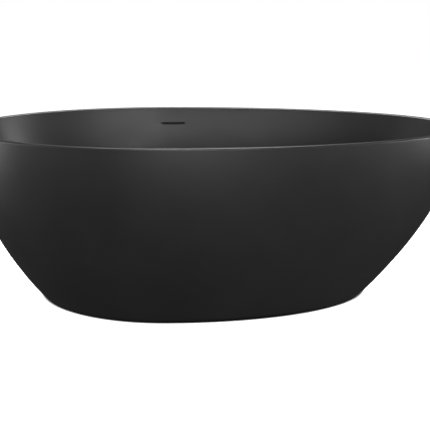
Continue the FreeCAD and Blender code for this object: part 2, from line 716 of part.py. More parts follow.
def make_plug_spring():
    """A coil between the cartridge's floor and the piston."""
    low = CARTRIDGE_Z[0] + CARTRIDGE_WALL + SPRING_WIRE + PISTON_CLEARANCE
    high = PISTON_TOP - PISTON_HEIGHT - SPRING_WIRE - PISTON_CLEARANCE
    coil = CARTRIDGE_RADIUS - CARTRIDGE_WALL - SPRING_WIRE - 2 * PISTON_CLEARANCE
    helix = Part.makeHelix((high - low) / SPRING_TURNS, high - low, coil)
    helix.translate(FreeCAD.Vector(WASTE_X, 0, low))
    start = FreeCAD.Vector(WASTE_X + coil, 0, low)
    wire = Part.Wire(Part.makeCircle(SPRING_WIRE, start, FreeCAD.Vector(0, 1, 0)))
    return Part.Wire(helix).makePipeShell([wire], True, True)


# ---------------------------------------------------------------- overflow

def make_overflow_box(form, spout_y):
    """The tray behind the slot: open towards the basin wall, with a spout below."""
    low, high = BOX_Z
    behind = form.copy()
    behind.translate(FreeCAD.Vector(0, BOX_GASKET, 0))
    block = box(WASTE_X - BOX_HALF, WASTE_X + BOX_HALF, BOX_START, BOX_BACK, low, high).cut(behind)
    spout = post(WASTE_X, spout_y, low - SPOUT_LENGTH, low + BOX_WALL, SPIGOT_RADIUS)
    tray = block.fuse(spout)
    hollow = box(WASTE_X - BOX_HALF + BOX_FRAME, WASTE_X + BOX_HALF - BOX_FRAME,
                 BOX_START, BOX_BACK - BOX_WALL, low + BOX_FRAME, high - BOX_FRAME)
    tray = tray.cut(hollow)
    return tray.cut(post(WASTE_X, spout_y, low - SPOUT_LENGTH, low + BOX_FRAME, SPIGOT_BORE))


def make_overflow_gasket(form):
    """The soft frame between the tray and the basin wall."""
    low, high = BOX_Z
    behind = form.copy()
    behind.translate(FreeCAD.Vector(0, BOX_GASKET, 0))
    frame = box(WASTE_X - BOX_HALF, WASTE_X + BOX_HALF, BOX_START, BOX_BACK, low, high)
    frame = frame.cut(box(WASTE_X - BOX_HALF + BOX_FRAME, WASTE_X + BOX_HALF - BOX_FRAME,
                          BOX_START, BOX_BACK, low + BOX_FRAME, high - BOX_FRAME))
    return frame.common(behind).cut(form)


def reach_y(body, z):
    """How far a full body reaches along +Y over the waste's line, at height z."""
    line = Part.makeLine(FreeCAD.Vector(WASTE_X, 0, z), FreeCAD.Vector(WASTE_X, WIDTH, z))
    return line.common(body).BoundBox.YMax


def gap_middle(form, room):
    """The middle of the space between basin and skirt, where the hose starts."""
    return (reach_y(form, HOSE_TOP) + reach_y(room, HOSE_TOP)) / 2


def hose_path(spout_y):
    """Straight runs joined by tangent arcs, from the spout to the waste's spigot."""
    end_y = SHOE_RADIUS + SPIGOT_LENGTH - HOSE_INSERT
    points = [FreeCAD.Vector(WASTE_X, spout_y, HOSE_TOP),
              FreeCAD.Vector(WASTE_X, spout_y, BOX_Z[0] - HOSE_DROP),
              FreeCAD.Vector(WASTE_X, HOSE_LOW_Y, INLET_Z),
              FreeCAD.Vector(WASTE_X, end_y, INLET_Z)]
    edges = []
    here = points[0]
    for before, corner, after, reach in zip(points, points[1:], points[2:], HOSE_BENDS):
        back = (before - corner).normalize()
        on = (after - corner).normalize()
        turn = math.pi - back.getAngle(on)
        radius = reach / math.tan(turn / 2)
        start = corner + back * reach
        finish = corner + on * reach
        bisector = (back + on).normalize()
        middle = corner + bisector * (radius / math.cos(turn / 2) - radius)
        edges.append(Part.LineSegment(here, start).toShape())
        edges.append(Part.Arc(start, middle, finish).toShape())
        here = finish
    edges.append(Part.LineSegment(here, points[-1]).toShape())
    return Part.Wire(edges)


def make_overflow_hose(spout_y):
    path = hose_path(spout_y)
    start = path.Edges[0].Vertexes[0].Point
    down = FreeCAD.Vector(0, 0, -1)
    solids = []
    for radius in (HOSE_RADIUS, SPIGOT_RADIUS):
        rim = Part.Wire(Part.makeCircle(radius, start, down))
        solids.append(path.makePipeShell([rim], True, False))
    return solids[0].cut(solids[1])


def hose_clamp():
    """A worm-drive clamp round an upright hose at the origin."""
    band_radius = HOSE_RADIUS + CLAMP_BAND
    wide, high, long = CLAMP_BOX
    band = post(0, 0, 0, CLAMP_WIDTH, band_radius)
    middle = CLAMP_WIDTH / 2
    housing = box(HOSE_RADIUS, HOSE_RADIUS + high, -long / 2, long / 2,
                  middle - wide / 2, middle + wide / 2)
    screw_at = FreeCAD.Vector(HOSE_RADIUS + high / 2, long / 2, middle)
    head = Part.makeCylinder(high / 2, CLAMP_HEAD, screw_at, FreeCAD.Vector(0, 1, 0))
    return band.fuse(housing).fuse(head).cut(post(0, 0, 0, CLAMP_WIDTH, HOSE_RADIUS))


def hose_clamps(spout_y):
    """One clamp on the spout and one on the waste's spigot."""
    upper = hose_clamp()
    upper.translate(FreeCAD.Vector(
        WASTE_X, spout_y, HOSE_TOP - HOSE_INSERT / 2 - CLAMP_WIDTH / 2))
    lower = hose_clamp()
    lower.rotate(FreeCAD.Vector(0, 0, 0), FreeCAD.Vector(1, 0, 0), -90)
    inner_end = SHOE_RADIUS + SPIGOT_LENGTH - HOSE_INSERT
    lower.translate(FreeCAD.Vector(WASTE_X, inner_end + HOSE_INSERT / 2 - CLAMP_WIDTH / 2, INLET_Z))
    return [upper, lower]


# ---------------------------------------------------------------- build

os.makedirs("parts", exist_ok=True)

room = skirt_room()
form = basin_form()

save("basin", make_basin())
save("skirt", make_skirt())
save("rim_bond", make_rim_bond(room, form))
save("base_board", make_base_board(form))

save("rail_front", make_rail(-1))
save("rail_back", make_rail(1))
for side_name, tube_x in CROSS_X.items():
    save("cross_tube_" + side_name, make_cross_tube(tube_x))
    save("skirt_block_" + side_name + "_front", make_skirt_block(tube_x, -1, room))
    save("skirt_block_" + side_name + "_back", make_skirt_block(tube_x, 1, room))
save("tube_caps", *tube_caps())
save("block_screws", *[screw(x, y, FRAME_Z, SCREW_BITE) for x, y in block_screw_places()])
board_z = FRAME_Z + TUBE
save("board_screws", *[screw(x, y, board_z, BOARD_BITE) for x, y in board_screw_places()])

weld_z = FRAME_Z - WELD_NUT
save("weld_nuts", *[nut(x, y, weld_z, FRAME_Z) for number, x, y in foot_places()])
save("jam_nuts", *[nut(x, y, weld_z - JAM_NUT, weld_z) for number, x, y in foot_places()])
for number, foot_x, foot_y in foot_places():
    save("foot_pad_%d" % number, make_foot_pad(foot_x, foot_y))
    save("foot_sole_%d" % number, make_foot_sole(foot_x, foot_y))
    save("foot_stud_%d" % number, make_foot_stud(foot_x, foot_y))

save("waste_flange", make_waste_flange())
save("flange_seal", make_flange_seal())
save("shoe_gasket", make_shoe_gasket())
save("waste_shoe", make_waste_shoe())
save("tailpiece", make_tailpiece())
save("outlet_washer", make_outlet_washer())
save("outlet_nut", make_outlet_nut())

save("plug_cap", make_plug_cap())
save("plug_seal", make_plug_seal())
save("plug_stem", make_plug_stem())
save("plug_cartridge", make_plug_cartridge())
save("plug_spring", make_plug_spring())

spout_place = gap_middle(form, room)
save("overflow_box", make_overflow_box(form, spout_place))
save("overflow_gasket", make_overflow_gasket(form))
save("overflow_hose", make_overflow_hose(spout_place))
save("hose_clamps", *hose_clamps(spout_place))
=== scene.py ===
import math

import bmesh
import bpy
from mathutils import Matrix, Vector


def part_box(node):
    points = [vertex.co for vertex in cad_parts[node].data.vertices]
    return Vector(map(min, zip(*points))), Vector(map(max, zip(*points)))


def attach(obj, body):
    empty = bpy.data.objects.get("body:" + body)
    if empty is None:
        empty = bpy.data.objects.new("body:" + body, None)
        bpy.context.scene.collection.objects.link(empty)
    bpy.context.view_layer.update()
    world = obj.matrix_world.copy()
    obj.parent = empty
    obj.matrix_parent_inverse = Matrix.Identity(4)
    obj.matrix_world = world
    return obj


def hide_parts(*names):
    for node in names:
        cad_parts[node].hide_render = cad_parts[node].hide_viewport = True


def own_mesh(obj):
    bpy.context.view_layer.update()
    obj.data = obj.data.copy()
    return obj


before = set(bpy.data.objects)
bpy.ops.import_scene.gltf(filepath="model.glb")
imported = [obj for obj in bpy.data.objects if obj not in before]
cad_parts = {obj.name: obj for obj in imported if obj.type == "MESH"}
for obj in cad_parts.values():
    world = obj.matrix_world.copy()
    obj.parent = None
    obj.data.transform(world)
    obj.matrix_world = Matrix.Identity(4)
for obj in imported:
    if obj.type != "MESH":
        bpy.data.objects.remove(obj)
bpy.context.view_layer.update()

# Looks for an egg-shaped freestanding bathtub: satin black shells, a slot overflow, a chrome
# press-to-close waste, and the steel frame, feet and pipework underneath.
# Blender works in metres; the shell profiles are in millimetres, scaled by MM where they are used.

MM = 0.001


def span(node, axis):
    """Lowest and highest coordinate of a CAD node along one axis, in millimetres."""
    low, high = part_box(node)
    return low[axis] / MM, high[axis] / MM


def middle(node, axis):
    low, high = span(node, axis)
    return (low + high) / 2


def radius_of(node):
    """Half of a round node's width."""
    low, high = span(node, 0)
    return (high - low) / 2


# ---------------------------------------------------------------- sizes taken from the CAD nodes
HEIGHT = span("basin", 2)[1]
LENGTH = span("basin", 0)[1] - span("basin", 0)[0]
WIDTH = span("basin", 1)[1] - span("basin", 1)[0]
LIP_Z = span("skirt", 2)[1]
SKIRT_GAP = span("skirt", 2)[0]
WASTE_X = middle("waste_flange", 0)
WASTE_Z = span("waste_flange", 2)[1]
FLANGE_RADIUS = radius_of("waste_flange")
FLANGE_Z = span("flange_seal", 2)[1]
SEAT_Z = span("flange_seal", 2)[0]

# ---------------------------------------------------------------- shaping sizes of the shells
WIDEST_X = -160.0
SHELL = 6.0
RIM_WIDTH = 20.0
RIM_INNER_ROUND = 6.0
RIM_OUTER_ROUND = 5.0
SEAM_ROUND = 0.35
BASE_LEFT = 460.0
BASE_RIGHT = 710.0
BASE_HALF = 320.0
BASE_ROUND = 12.0
FLANGE_WIDTH = 30.0
BELLY_Z = 200.0
SHOULDER_Z = 400.0
BELLY_LEFT = 0.74
BELLY_RIGHT = 0.61
BELLY_HALF = 0.65
FLOOR_EDGE_Z = 152.0
FLOOR_LEFT = 380.0
FLOOR_RIGHT = 560.0
FLOOR_HALF = 200.0
UPPER_DROP = 130.0
UPPER_INSET = (52.0, 80.0, 54.0)
LOWER_ROW = (245.0, 565.0, 800.0, 312.0)
COVE_REACH = 0.25
SLOT_LENGTH = 90.0
SLOT_HEIGHT = 7.0
SLOT_Z = HEIGHT - 60.0
SLOT_ROUND = 1.2
WASTE_HOLE = 24.5
RECESS_MARGIN = 1.0         # the recess under the flange is this much wider than the flange
RECESS_ROUND = 1.5
SEAT_WIDTH = 10.0           # of the thickened ring round the recess
COVE_MARGIN = 11.0

COLUMNS = 384               # vertices all round a shell
ARC_WEIGHT = math.sqrt(0.5)
HALVINGS = 40               # of the search for a height on a spline
SHARP_ANGLE = math.radians(40)


# ---------------------------------------------------------------- egg-shaped sections
# A section is (z, x, left, right, half): two half-ellipses that share their short axis at x.

def section(z, left, right, half, x=WIDEST_X):
    return (z, x, left, right, half)


def disc(z, radius):
    return (z, WASTE_X, radius, radius, radius)


def grow(row, by, rise=0.0):
    z, x, left, right, half = row
    return (z + rise, x, left + by, right + by, half + by)


def mix(a, b, t):
    return tuple(p + (q - p) * t for p, q in zip(a, b))


def at_height(a, b, z):
    return mix(a, b, (z - a[0]) / (b[0] - a[0]))


def upper_part(rows, t):
    """Rows of the part of a cubic that lies above parameter t."""
    points = list(rows)
    kept = []
    while points:
        kept.append(points[-1])
        points = [mix(a, b, t) for a, b in zip(points, points[1:])]
    return kept[::-1]


def spline_at(rows, t):
    """A point of the clamped cubic spline through its end rows, with one unit of t per span."""
    degree = 3
    spans = len(rows) - degree
    knots = [0] * degree + list(range(spans + 1)) + [spans] * degree
    k = min(int(t), spans - 1) + degree
    points = [rows[i] for i in range(k - degree, k + 1)]
    for level in range(1, degree + 1):
        for i in range(degree, level - 1, -1):
            low = knots[i + k - degree]
            high = knots[i + 1 + k - level]
            points[i] = mix(points[i - 1], points[i], (t - low) / (high - low))
    return points[degree]


def arc_at(rows, t):
    """A point of the rounded corner from the first row to the last."""
    parts = ((1 - t) ** 2, 2 * ARC_WEIGHT * t * (1 - t), t ** 2)
    total = sum(parts)
    return tuple(sum(w * row[i] for w, row in zip(parts, rows)) / total for i in range(5))


def spline_height(rows, z):
    """The parameter at which a falling or rising spline passes height z."""
    low, high = 0.0, float(len(rows) - 3)
    falling = rows[0][0] > rows[-1][0]
    for _ in range(HALVINGS):
        half = (low + high) / 2
        if (spline_at(rows, half)[0] > z) == falling:
            low = half
        else:
            high = half
    return (low + high) / 2


def straight(a, b, steps):
    return [mix(a, b, i / steps) for i in range(steps)]


def rounded(a, corner, b, steps=6):
    return [arc_at((a, corner, b), i / steps) for i in range(steps)]


def curved(rows, start, end, steps):
    return [spline_at(rows, start + (end - start) * i / steps) for i in range(steps)]


# ---------------------------------------------------------------- mesh helpers

def finish_mesh(name, verts, faces, *materials):
    """A smooth-shaded object from vertices in millimetres."""
    mesh = bpy.data.meshes.new(name)
    mesh.from_pydata([Vector(v) * MM for v in verts], [], faces)
    piece = bpy.data.objects.new(name, mesh)
    bpy.context.scene.collection.objects.link(piece)
    for material in materials:
        mesh.materials.append(material)
    return piece


def smooth(piece):
    """Outward faces, smooth shading up to real corners, and flats that stay flat beside rounds."""
    mesh = bmesh.new()
    mesh.from_mesh(piece.data)
    bmesh.ops.recalc_face_normals(mesh, faces=mesh.faces)
    mesh.to_mesh(piece.data)
    mesh.free()
    piece.data.polygons.foreach_set("use_smooth", [True] * len(piece.data.polygons))
    piece.data.set_sharp_from_angle(angle=SHARP_ANGLE)
    modifier = piece.modifiers.new("weigh", "WEIGHTED_NORMAL")
    modifier.mode = "FACE_AREA"
    modifier.weight = 50
    modifier.keep_sharp = True
    return piece


def settle(piece, slot, body, *nodes):
    """Shades a piece, hangs it on its body and lets it stand for its CAD nodes."""
    smooth(piece)
    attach(piece, body)
    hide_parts(*nodes)
    return piece


def stand_in(name, form, material, slot, body, node):
    """A piece of one material, from its vertices and faces, in place of its CAD node."""
    return settle(finish_mesh(name, *form, material), slot, body, node)


def ring_verts(row):
    """The vertices all round one section."""
    z, x, left, right, half = row
    verts = []
    for j in range(COLUMNS):
        angle = 2 * math.pi * j / COLUMNS
        reach = right if math.cos(angle) > 0 else left
        verts.append((x + reach * math.cos(angle), half * math.sin(angle), z))
    return verts


def loft(sections, skip=lambda i, j: False):
    """A closed hoop through the sections and back to the first: vertices, faces, faces' row numbers."""
    verts = [v for row in sections for v in ring_verts(row)]
    faces = []
    rows = []
    count = len(sections)
    for i in range(count):
        after = (i + 1) % count
        for j in range(COLUMNS):
            k = (j + 1) % COLUMNS
            if not skip(i, j):
                faces.append((i * COLUMNS + j, i * COLUMNS + k, after * COLUMNS + k, after * COLUMNS + j))
                rows.append(i)
    return verts, faces, rows


# ---------------------------------------------------------------- basin

RIM = section(HEIGHT, WIDEST_X + LENGTH / 2, LENGTH / 2 - WIDEST_X, WIDTH / 2)
ROUND_STEPS = 6
SLOT_MARGIN = 20.0          # the grid round the slot is refined this far above and below it
SLOT_ROWS = 12
SLOT_RINGS = 7
SLOT_COLUMNS = (-5, 7)      # columns of the grid that the slot's patch takes, from the crest on
RING_CROWDING = 0.7         # under 1 crowds the patch's rings near the grid
ABOVE_ROWS = 6              # rows of the inner wall above the slot's patch, and below it
INNER_ROWS = 60
FLOOR_ROWS = 12
OUTER_ROWS = 30
SEAT_STEPS = (2, 2, 2, 3, 1, 6)
SEAT_SEEN = 6               # the first rows of the seat have the face's look


def basin_wall():
    """Rows of the inside of the basin, from just under the rim to the floor's edge."""
    rim_edge = grow(RIM, -RIM_WIDTH)
    upper = section(HEIGHT - UPPER_DROP, RIM[2] - UPPER_INSET[0],
                    RIM[3] - UPPER_INSET[1], RIM[4] - UPPER_INSET[2])
    lower = section(*LOWER_ROW)
    edge = section(FLOOR_EDGE_Z, FLOOR_LEFT, FLOOR_RIGHT, FLOOR_HALF)
    cove = mix(edge, disc(WASTE_Z, FLANGE_RADIUS + COVE_MARGIN), -COVE_REACH)
    start = at_height(rim_edge, upper, HEIGHT - RIM_INNER_ROUND)
    return [start, upper, lower, cove, edge]


def wall_y(rows, x, z):
    """Where the wall is, along +Y, at a given x and height."""
    z, centre, left, right, half = spline_at(rows, spline_height(rows, z))
    reach = right if x > centre else left
    return half * math.sqrt(1 - ((x - centre) / reach) ** 2)


def slot_outline(across, around, by):
    """Points (x, z) round the slot, grown by a margin: top, left end, bottom, right end."""
    reach = SLOT_LENGTH / 2 - SLOT_HEIGHT / 2
    radius = SLOT_HEIGHT / 2 + by
    points = []
    for side, start in ((1, 90), (-1, 270)):
        for i in range(across):
            x = side * reach * (1 - 2 * i / across)
            points.append((WASTE_X + x, SLOT_Z + side * radius))
        for i in range(around):
            angle = math.radians(start + 180 * i / around)
            points.append((WASTE_X - side * reach + radius * math.cos(angle),
                           SLOT_Z + radius * math.sin(angle)))
    return points


def patch_loop(rows, columns):
    """Vertex numbers round a patch of the hoop: rows top to bottom, columns right to left."""
    top = [rows[0] * COLUMNS + j for j in columns[:-1]]
    left = [i * COLUMNS + columns[-1] for i in rows[:-1]]
    bottom = [rows[-1] * COLUMNS + j for j in columns[:0:-1]]
    right = [i * COLUMNS + columns[0] for i in rows[:0:-1]]
    return top + left + bottom + right


def stitch(faces, outer, inner):
    """Faces between two loops of vertex numbers with the same count."""
    count = len(outer)
    for n in range(count):
        m = (n + 1) % count
        faces.append((outer[n], outer[m], inner[m], inner[n]))


def add_loop(verts, points):
    start = len(verts)
    verts.extend(points)
    return list(range(start, len(verts)))


def slot_side(verts, faces, wall, loop, outline):
    """Fills a patch of one wall down to the outline; returns the loop on the outline."""
    start = [(verts[n][0], verts[n][2]) for n in loop]
    for ring in range(1, SLOT_RINGS + 1):
        share = (ring / SLOT_RINGS) ** RING_CROWDING
        points = []
        for (ax, az), (bx, bz) in zip(start, outline):
            x = ax + (bx - ax) * share
            z = az + (bz - az) * share
            points.append((x, wall_y(wall, x, z), z))
        inner = add_loop(verts, points)
        stitch(faces, loop, inner)
        loop = inner
    return loop


def slot_edge(verts, faces, wall, loop, across, around):
    """Rounds the slot's edge over from the wall into the slot; returns the last loop."""
    for step in range(1, ROUND_STEPS + 1):
        angle = math.pi / 2 * step / ROUND_STEPS
        outline = slot_outline(across, around, SLOT_ROUND * (1 - math.sin(angle)))
        depth = SLOT_ROUND * (1 - math.cos(angle))
        points = [(x, wall_y(wall, x, z) + depth, z) for x, z in outline]
        inner = add_loop(verts, points)
        stitch(faces, loop, inner)
        loop = inner
    return loop


def seat_section(recess, end):
    """Rows of the waste's recess, its hole and the thick ring under it, out to the shell's underside."""
    shoulder = recess + SEAT_WIDTH
    below = SEAT_Z - SHELL
    edge = disc(WASTE_Z - RECESS_ROUND, recess)
    rows = rounded(disc(WASTE_Z, recess + RECESS_ROUND), disc(WASTE_Z, recess), edge, 4)
    corners = (edge, disc(SEAT_Z, recess), disc(SEAT_Z, WASTE_HOLE), disc(below, WASTE_HOLE),
               disc(below, shoulder), disc(WASTE_Z - SHELL, shoulder), end)
    for start, stop, steps in zip(corners, corners[1:], SEAT_STEPS):
        rows += straight(start, stop, steps)
    return rows


def make_basin(face, back):
    wall = basin_wall()
    under = [grow(wall[0], SHELL)] + [grow(row, SHELL, -SHELL) for row in wall[1:]]
    rim_corner = at_height(wall[1], wall[0], HEIGHT)
    flat_in = grow(rim_corner, RIM_INNER_ROUND)
    flat_out = grow(RIM, -RIM_OUTER_ROUND)
    lip_out = grow(RIM, 0, LIP_Z - HEIGHT)
    lip_in = grow(lip_out, -SHELL)
    under_rim = grow(lip_in, 0, HEIGHT - RIM_INNER_ROUND - LIP_Z)
    recess = FLANGE_RADIUS + RECESS_MARGIN
    high = spline_height(wall, SLOT_Z + SLOT_MARGIN)
    low = spline_height(wall, SLOT_Z - SLOT_MARGIN)
    end = len(wall) - 3
    inner_rows = curved(wall, 0, high, ABOVE_ROWS) + curved(wall, high, low, SLOT_ROWS)
    inner_rows += curved(wall, low, end, INNER_ROWS)
    floor_rows = straight(wall[-1], disc(WASTE_Z, recess + RECESS_ROUND), FLOOR_ROWS)
    seat_rows = seat_section(recess, under[-1])
    outer_rows = curved(under, end, low, OUTER_ROWS) + curved(under, low, high, SLOT_ROWS)
    outer_rows += curved(under, high, 0, 3)
    rim_rows = straight(under[0], under_rim, 2) + straight(under_rim, lip_in, 2)
    seam_in = grow(lip_out, -SEAM_ROUND)
    seam_up = grow(lip_out, 0, SEAM_ROUND)
    rim_rows += straight(lip_in, seam_in, 2) + rounded(seam_in, lip_out, seam_up, 3)
    lip_top = grow(RIM, 0, -RIM_OUTER_ROUND)
    rim_rows += straight(seam_up, lip_top, 3) + rounded(lip_top, RIM, flat_out, ROUND_STEPS + 2)
    rim_rows += straight(flat_out, flat_in, 4) + rounded(flat_in, rim_corner, wall[0], ROUND_STEPS + 2)
    sections = inner_rows + floor_rows + seat_rows + outer_rows + rim_rows

    inner_patch = list(range(ABOVE_ROWS, ABOVE_ROWS + SLOT_ROWS + 1))
    outer_start = len(inner_rows + floor_rows + seat_rows) + OUTER_ROWS
    outer_patch = list(range(outer_start, outer_start + SLOT_ROWS + 1))
    crest = COLUMNS // 4
    columns = list(range(crest + SLOT_COLUMNS[0], crest + SLOT_COLUMNS[1]))
    patch_faces = {(i, j) for rows in (inner_patch, outer_patch) for i in rows[:-1] for j in columns[:-1]}
    verts, faces, rows = loft(sections, lambda i, j: (i, j) in patch_faces)

    across, around = len(columns) - 1, SLOT_ROWS
    front_loop = slot_side(verts, faces, wall, patch_loop(inner_patch, columns),
                           slot_outline(across, around, SLOT_ROUND))
    front_loop = slot_edge(verts, faces, wall, front_loop, across, around)
    seen = len(faces)
    back_loop = slot_side(verts, faces, under, patch_loop(outer_patch[::-1], columns),
                          slot_outline(across, around, 0))
    seat_start = len(inner_rows + floor_rows)
    hidden = range(seat_start + SEAT_SEEN, seat_start + len(seat_rows + outer_rows))
    backs = [row in hidden for row in rows]
    backs += [number >= seen for number in range(len(rows), len(faces))]
    stitch(faces, front_loop, back_loop)
    piece = finish_mesh("tub_basin", verts, faces, face, back)
    paint(piece, backs)
    return settle(piece, "shell", "root", "basin")


def paint(piece, backs):
    """Gives the second material to the faces that are marked."""
    for polygon, back in zip(piece.data.polygons, backs):
        polygon.material_index = int(back)


# ---------------------------------------------------------------- skirt

def skirt_wall():
    base = section(SKIRT_GAP, BASE_LEFT, BASE_RIGHT, BASE_HALF)
    belly = section(BELLY_Z,
                    BASE_LEFT + BELLY_LEFT * (RIM[2] - BASE_LEFT),
                    BASE_RIGHT + BELLY_RIGHT * (RIM[3] - BASE_RIGHT),
                    BASE_HALF + BELLY_HALF * (RIM[4] - BASE_HALF))
    shoulder = grow(RIM, 0, SHOULDER_Z - HEIGHT)
    top = grow(RIM, 0, LIP_Z - HEIGHT)
    rows = [base, belly, shoulder, top]
    return upper_part(rows, BASE_ROUND / (3 * (BELLY_Z - SKIRT_GAP)))


def make_skirt(face, back):
    wall = skirt_wall()
    inner = [grow(row, -SHELL) for row in wall]
    corner = at_height(wall[0], wall[1], SKIRT_GAP)
    inner_corner = at_height(inner[0], inner[1], SKIRT_GAP + SHELL)
    sole = grow(corner, -BASE_ROUND)
    flange = grow(corner, -FLANGE_WIDTH)
    flange_top = grow(flange, 0, SHELL)
    inner_sole = grow(inner_corner, SHELL - BASE_ROUND)
    seam_low = grow(wall[-1], 0, -SEAM_ROUND)
    seam_in = grow(wall[-1], -SEAM_ROUND)
    seam = spline_height(wall, seam_low[0])
    rows = curved(wall, 0, seam, 64)
    rows += rounded(spline_at(wall, seam), wall[-1], seam_in, 3)
    rows += straight(seam_in, inner[-1], 2)
    first_hidden = len(rows)
    rows += curved(inner, 1, 0, 32)
    rows += rounded(inner[0], inner_corner, inner_sole, 5)
    rows += straight(inner_sole, flange_top, 3) + straight(flange_top, flange, 2)
    last_hidden = len(rows)
    rows += straight(flange, sole, 3)
    rows += rounded(sole, corner, wall[0], ROUND_STEPS + 2)
    verts, faces, face_rows = loft(rows)
    piece = finish_mesh("tub_skirt", verts, faces, face, back)
    paint(piece, [first_hidden <= row < last_hidden for row in face_rows])
    return settle(piece, "shell", "root", "skirt")


# ---------------------------------------------------------------- turned pieces

def eased(points, by, closed=False, steps=3):
    """The outline with each corner replaced by a small round."""
    count = len(points)
    out = []
    for i, point in enumerate(points):
        if not closed and i in (0, count - 1):
            out.append(point)
            continue
        corner = Vector(point)
        before = Vector(points[i - 1]) - corner
        after = Vector(points[(i + 1) % count]) - corner
        start = corner + before.normalized() * min(by, before.length * 0.45)
        end = corner + after.normalized() * min(by, after.length * 0.45)
        for k in range(steps + 1):
            t = k / steps
            out.append(tuple(start * (1 - t) ** 2 + corner * 2 * t * (1 - t) + end * t * t))
    return out


def spin(profile, x, y, hoop=False, columns=96):
    """Vertices and faces about an upright axis. The profile is (radius, z); a radius may be a
    function of the angle, and a radius of 0 is a pole."""
    verts = []
    rings = []
    for radius, z in profile:
        start = len(verts)
        if radius == 0:
            verts.append((x, y, z))
            rings.append([start] * columns)
            continue
        for j in range(columns):
            angle = 2 * math.pi * j / columns
            reach = radius(angle) if callable(radius) else radius
            verts.append((x + reach * math.cos(angle), y + reach * math.sin(angle), z))
        rings.append(list(range(start, start + columns)))
    faces = []
    pairs = list(zip(rings, rings[1:])) + ([(rings[-1], rings[0])] if hoop else [])
    for low, high in pairs:
        for j in range(columns):
            k = (j + 1) % columns
            corners = list(dict.fromkeys((low[j], low[k], high[k], high[j])))
            if len(corners) > 2:
                faces.append(corners)
    return verts, faces


def join(*forms):
    """Several (vertices, faces) forms as one."""
    verts, faces = [], []
    for more_verts, more_faces in forms:
        start = len(verts)
        verts += more_verts
        faces += [[start + n for n in face] for face in more_faces]
    return verts, faces


def hexagon(flats, limit=math.inf):
    """Radius of a six-sided bar, with its corners turned down to a limit."""
    def radius(angle):
        return min(limit, flats / 2 / math.cos(angle % math.radians(60) - math.radians(30)))
    return radius


def thread(outer, depth, pitch, z):
    """Radius of a right-hand screw thread at a height."""
    def radius(angle):
        phase = (z / pitch - angle / (2 * math.pi)) % 1
        return outer - depth * min(1, max(0, 2.4 * abs(phase - 0.5) - 0.1))
    return radius


def threaded(outer, depth, pitch, low, high, samples=8):
    """Rings of a threaded stretch."""
    count = max(2, round((high - low) / pitch * samples))
    heights = [low + (high - low) * i / count for i in range(count + 1)]
    return [(thread(outer, depth, pitch, z), z) for z in heights]


# ---------------------------------------------------------------- levelling feet

FEET = (1, 2, 3, 4, 5)
THREAD_DEPTH = 0.9
THREAD_PITCH = 1.75
NUT_FLATS = 19.0
NUT_BORE = 6.0
WRENCH_FLATS = 14.0
WRENCH_Z = (24.0, 32.0)
BALL_RADIUS = 8.0
SHANK_RADIUS = 5.9
NECK_CUT = 0.6              # how far the neck is under the shank
SOCKET_RADIUS = 8.3
THROAT_RADIUS = 6.3
TREAD_RINGS = (6.0, 12.0, 18.0)
TREAD_GROOVE = 0.8
SPHERE_STEPS = 12


def foot_place(number):
    stud = "foot_stud_%d" % number
    return middle(stud, 0), middle(stud, 1)


def make_foot_stud(number, material):
    """Ball end, neck, wrench flats and threaded shank, in one skin."""
    node = "foot_stud_%d" % number
    x, y = foot_place(number)
    bottom, top = span(node, 2)
    centre = bottom + BALL_RADIUS
    profile = [(0, bottom)]
    neck = SHANK_RADIUS - NECK_CUT
    neck_angle = math.asin(neck / BALL_RADIUS)
    for i in range(1, SPHERE_STEPS + 1):
        angle = (math.pi - neck_angle) * i / SPHERE_STEPS
        profile.append((BALL_RADIUS * math.sin(angle), centre - BALL_RADIUS * math.cos(angle)))
    low, high = WRENCH_Z
    full = hexagon(WRENCH_FLATS)
    turned = hexagon(WRENCH_FLATS, WRENCH_FLATS / 2)
    profile += [(neck, low), (turned, low), (full, low + 1)]
    profile += [(full, high - 1), (turned, high), (neck, high), (neck, high + 1.5)]
    profile += threaded(SHANK_RADIUS, THREAD_DEPTH, THREAD_PITCH, high + 2.2, top - 1.4)
    profile += [(SHANK_RADIUS - 1.2, top - 0.5), (SHANK_RADIUS - 1.7, top), (0, top)]
    form = spin(profile, x, y, columns=48)
    return stand_in("levelling_stud_%d" % number, form, material, "zinc_steel", "foot_%d_stud" % number, node)


def make_foot_pad(number, material):
    """A domed plate with a hub, and a socket round the ball."""
    node = "foot_pad_%d" % number
    x, y = foot_place(number)
    low, high = span(node, 2)
    radius = radius_of(node)
    hub = radius / 2
    ball = SOCKET_RADIUS
    centre = span("foot_stud_%d" % number, 2)[0] + BALL_RADIUS
    throat = THROAT_RADIUS
    edge = [(0, low), (radius, low), (radius, low + 2), (radius - 2, low + 4),
            (hub + 2, low + 6), (hub, high - 2), (hub - 1, high), (throat, high)]
    profile = eased(edge, 0.9)
    first = math.acos(math.sqrt(1 - (throat / ball) ** 2))
    for i in range(SPHERE_STEPS + 1):
        angle = first + (math.pi - first) * i / SPHERE_STEPS
        profile.append((ball * math.sin(angle) if i < SPHERE_STEPS else 0, centre + ball * math.cos(angle)))
    form = spin(profile, x, y)
    name = "levelling_pad_%d" % number
    return stand_in(name, form, material, "black_plastic", "foot_%d_pad" % number, node)


def make_foot_sole(number, material):
    """A rubber disc with three shallow rings moulded into its tread."""
    node = "foot_sole_%d" % number
    x, y = foot_place(number)
    low, high = span(node, 2)
    radius = radius_of(node)
    groove = TREAD_GROOVE
    edge = [(0, low)]
    for ring in TREAD_RINGS:
        edge += [(ring, low), (ring + groove / 2, low + groove), (ring + groove * 2, low + groove),
                 (ring + groove * 2.5, low)]
    edge += [(radius - 1, low), (radius, low + 1), (radius, high), (0, high)]
    form = spin(eased(edge, 0.25), x, y)
    return stand_in("levelling_sole_%d" % number, form, material, "foot_rubber", "foot_%d_pad" % number, node)


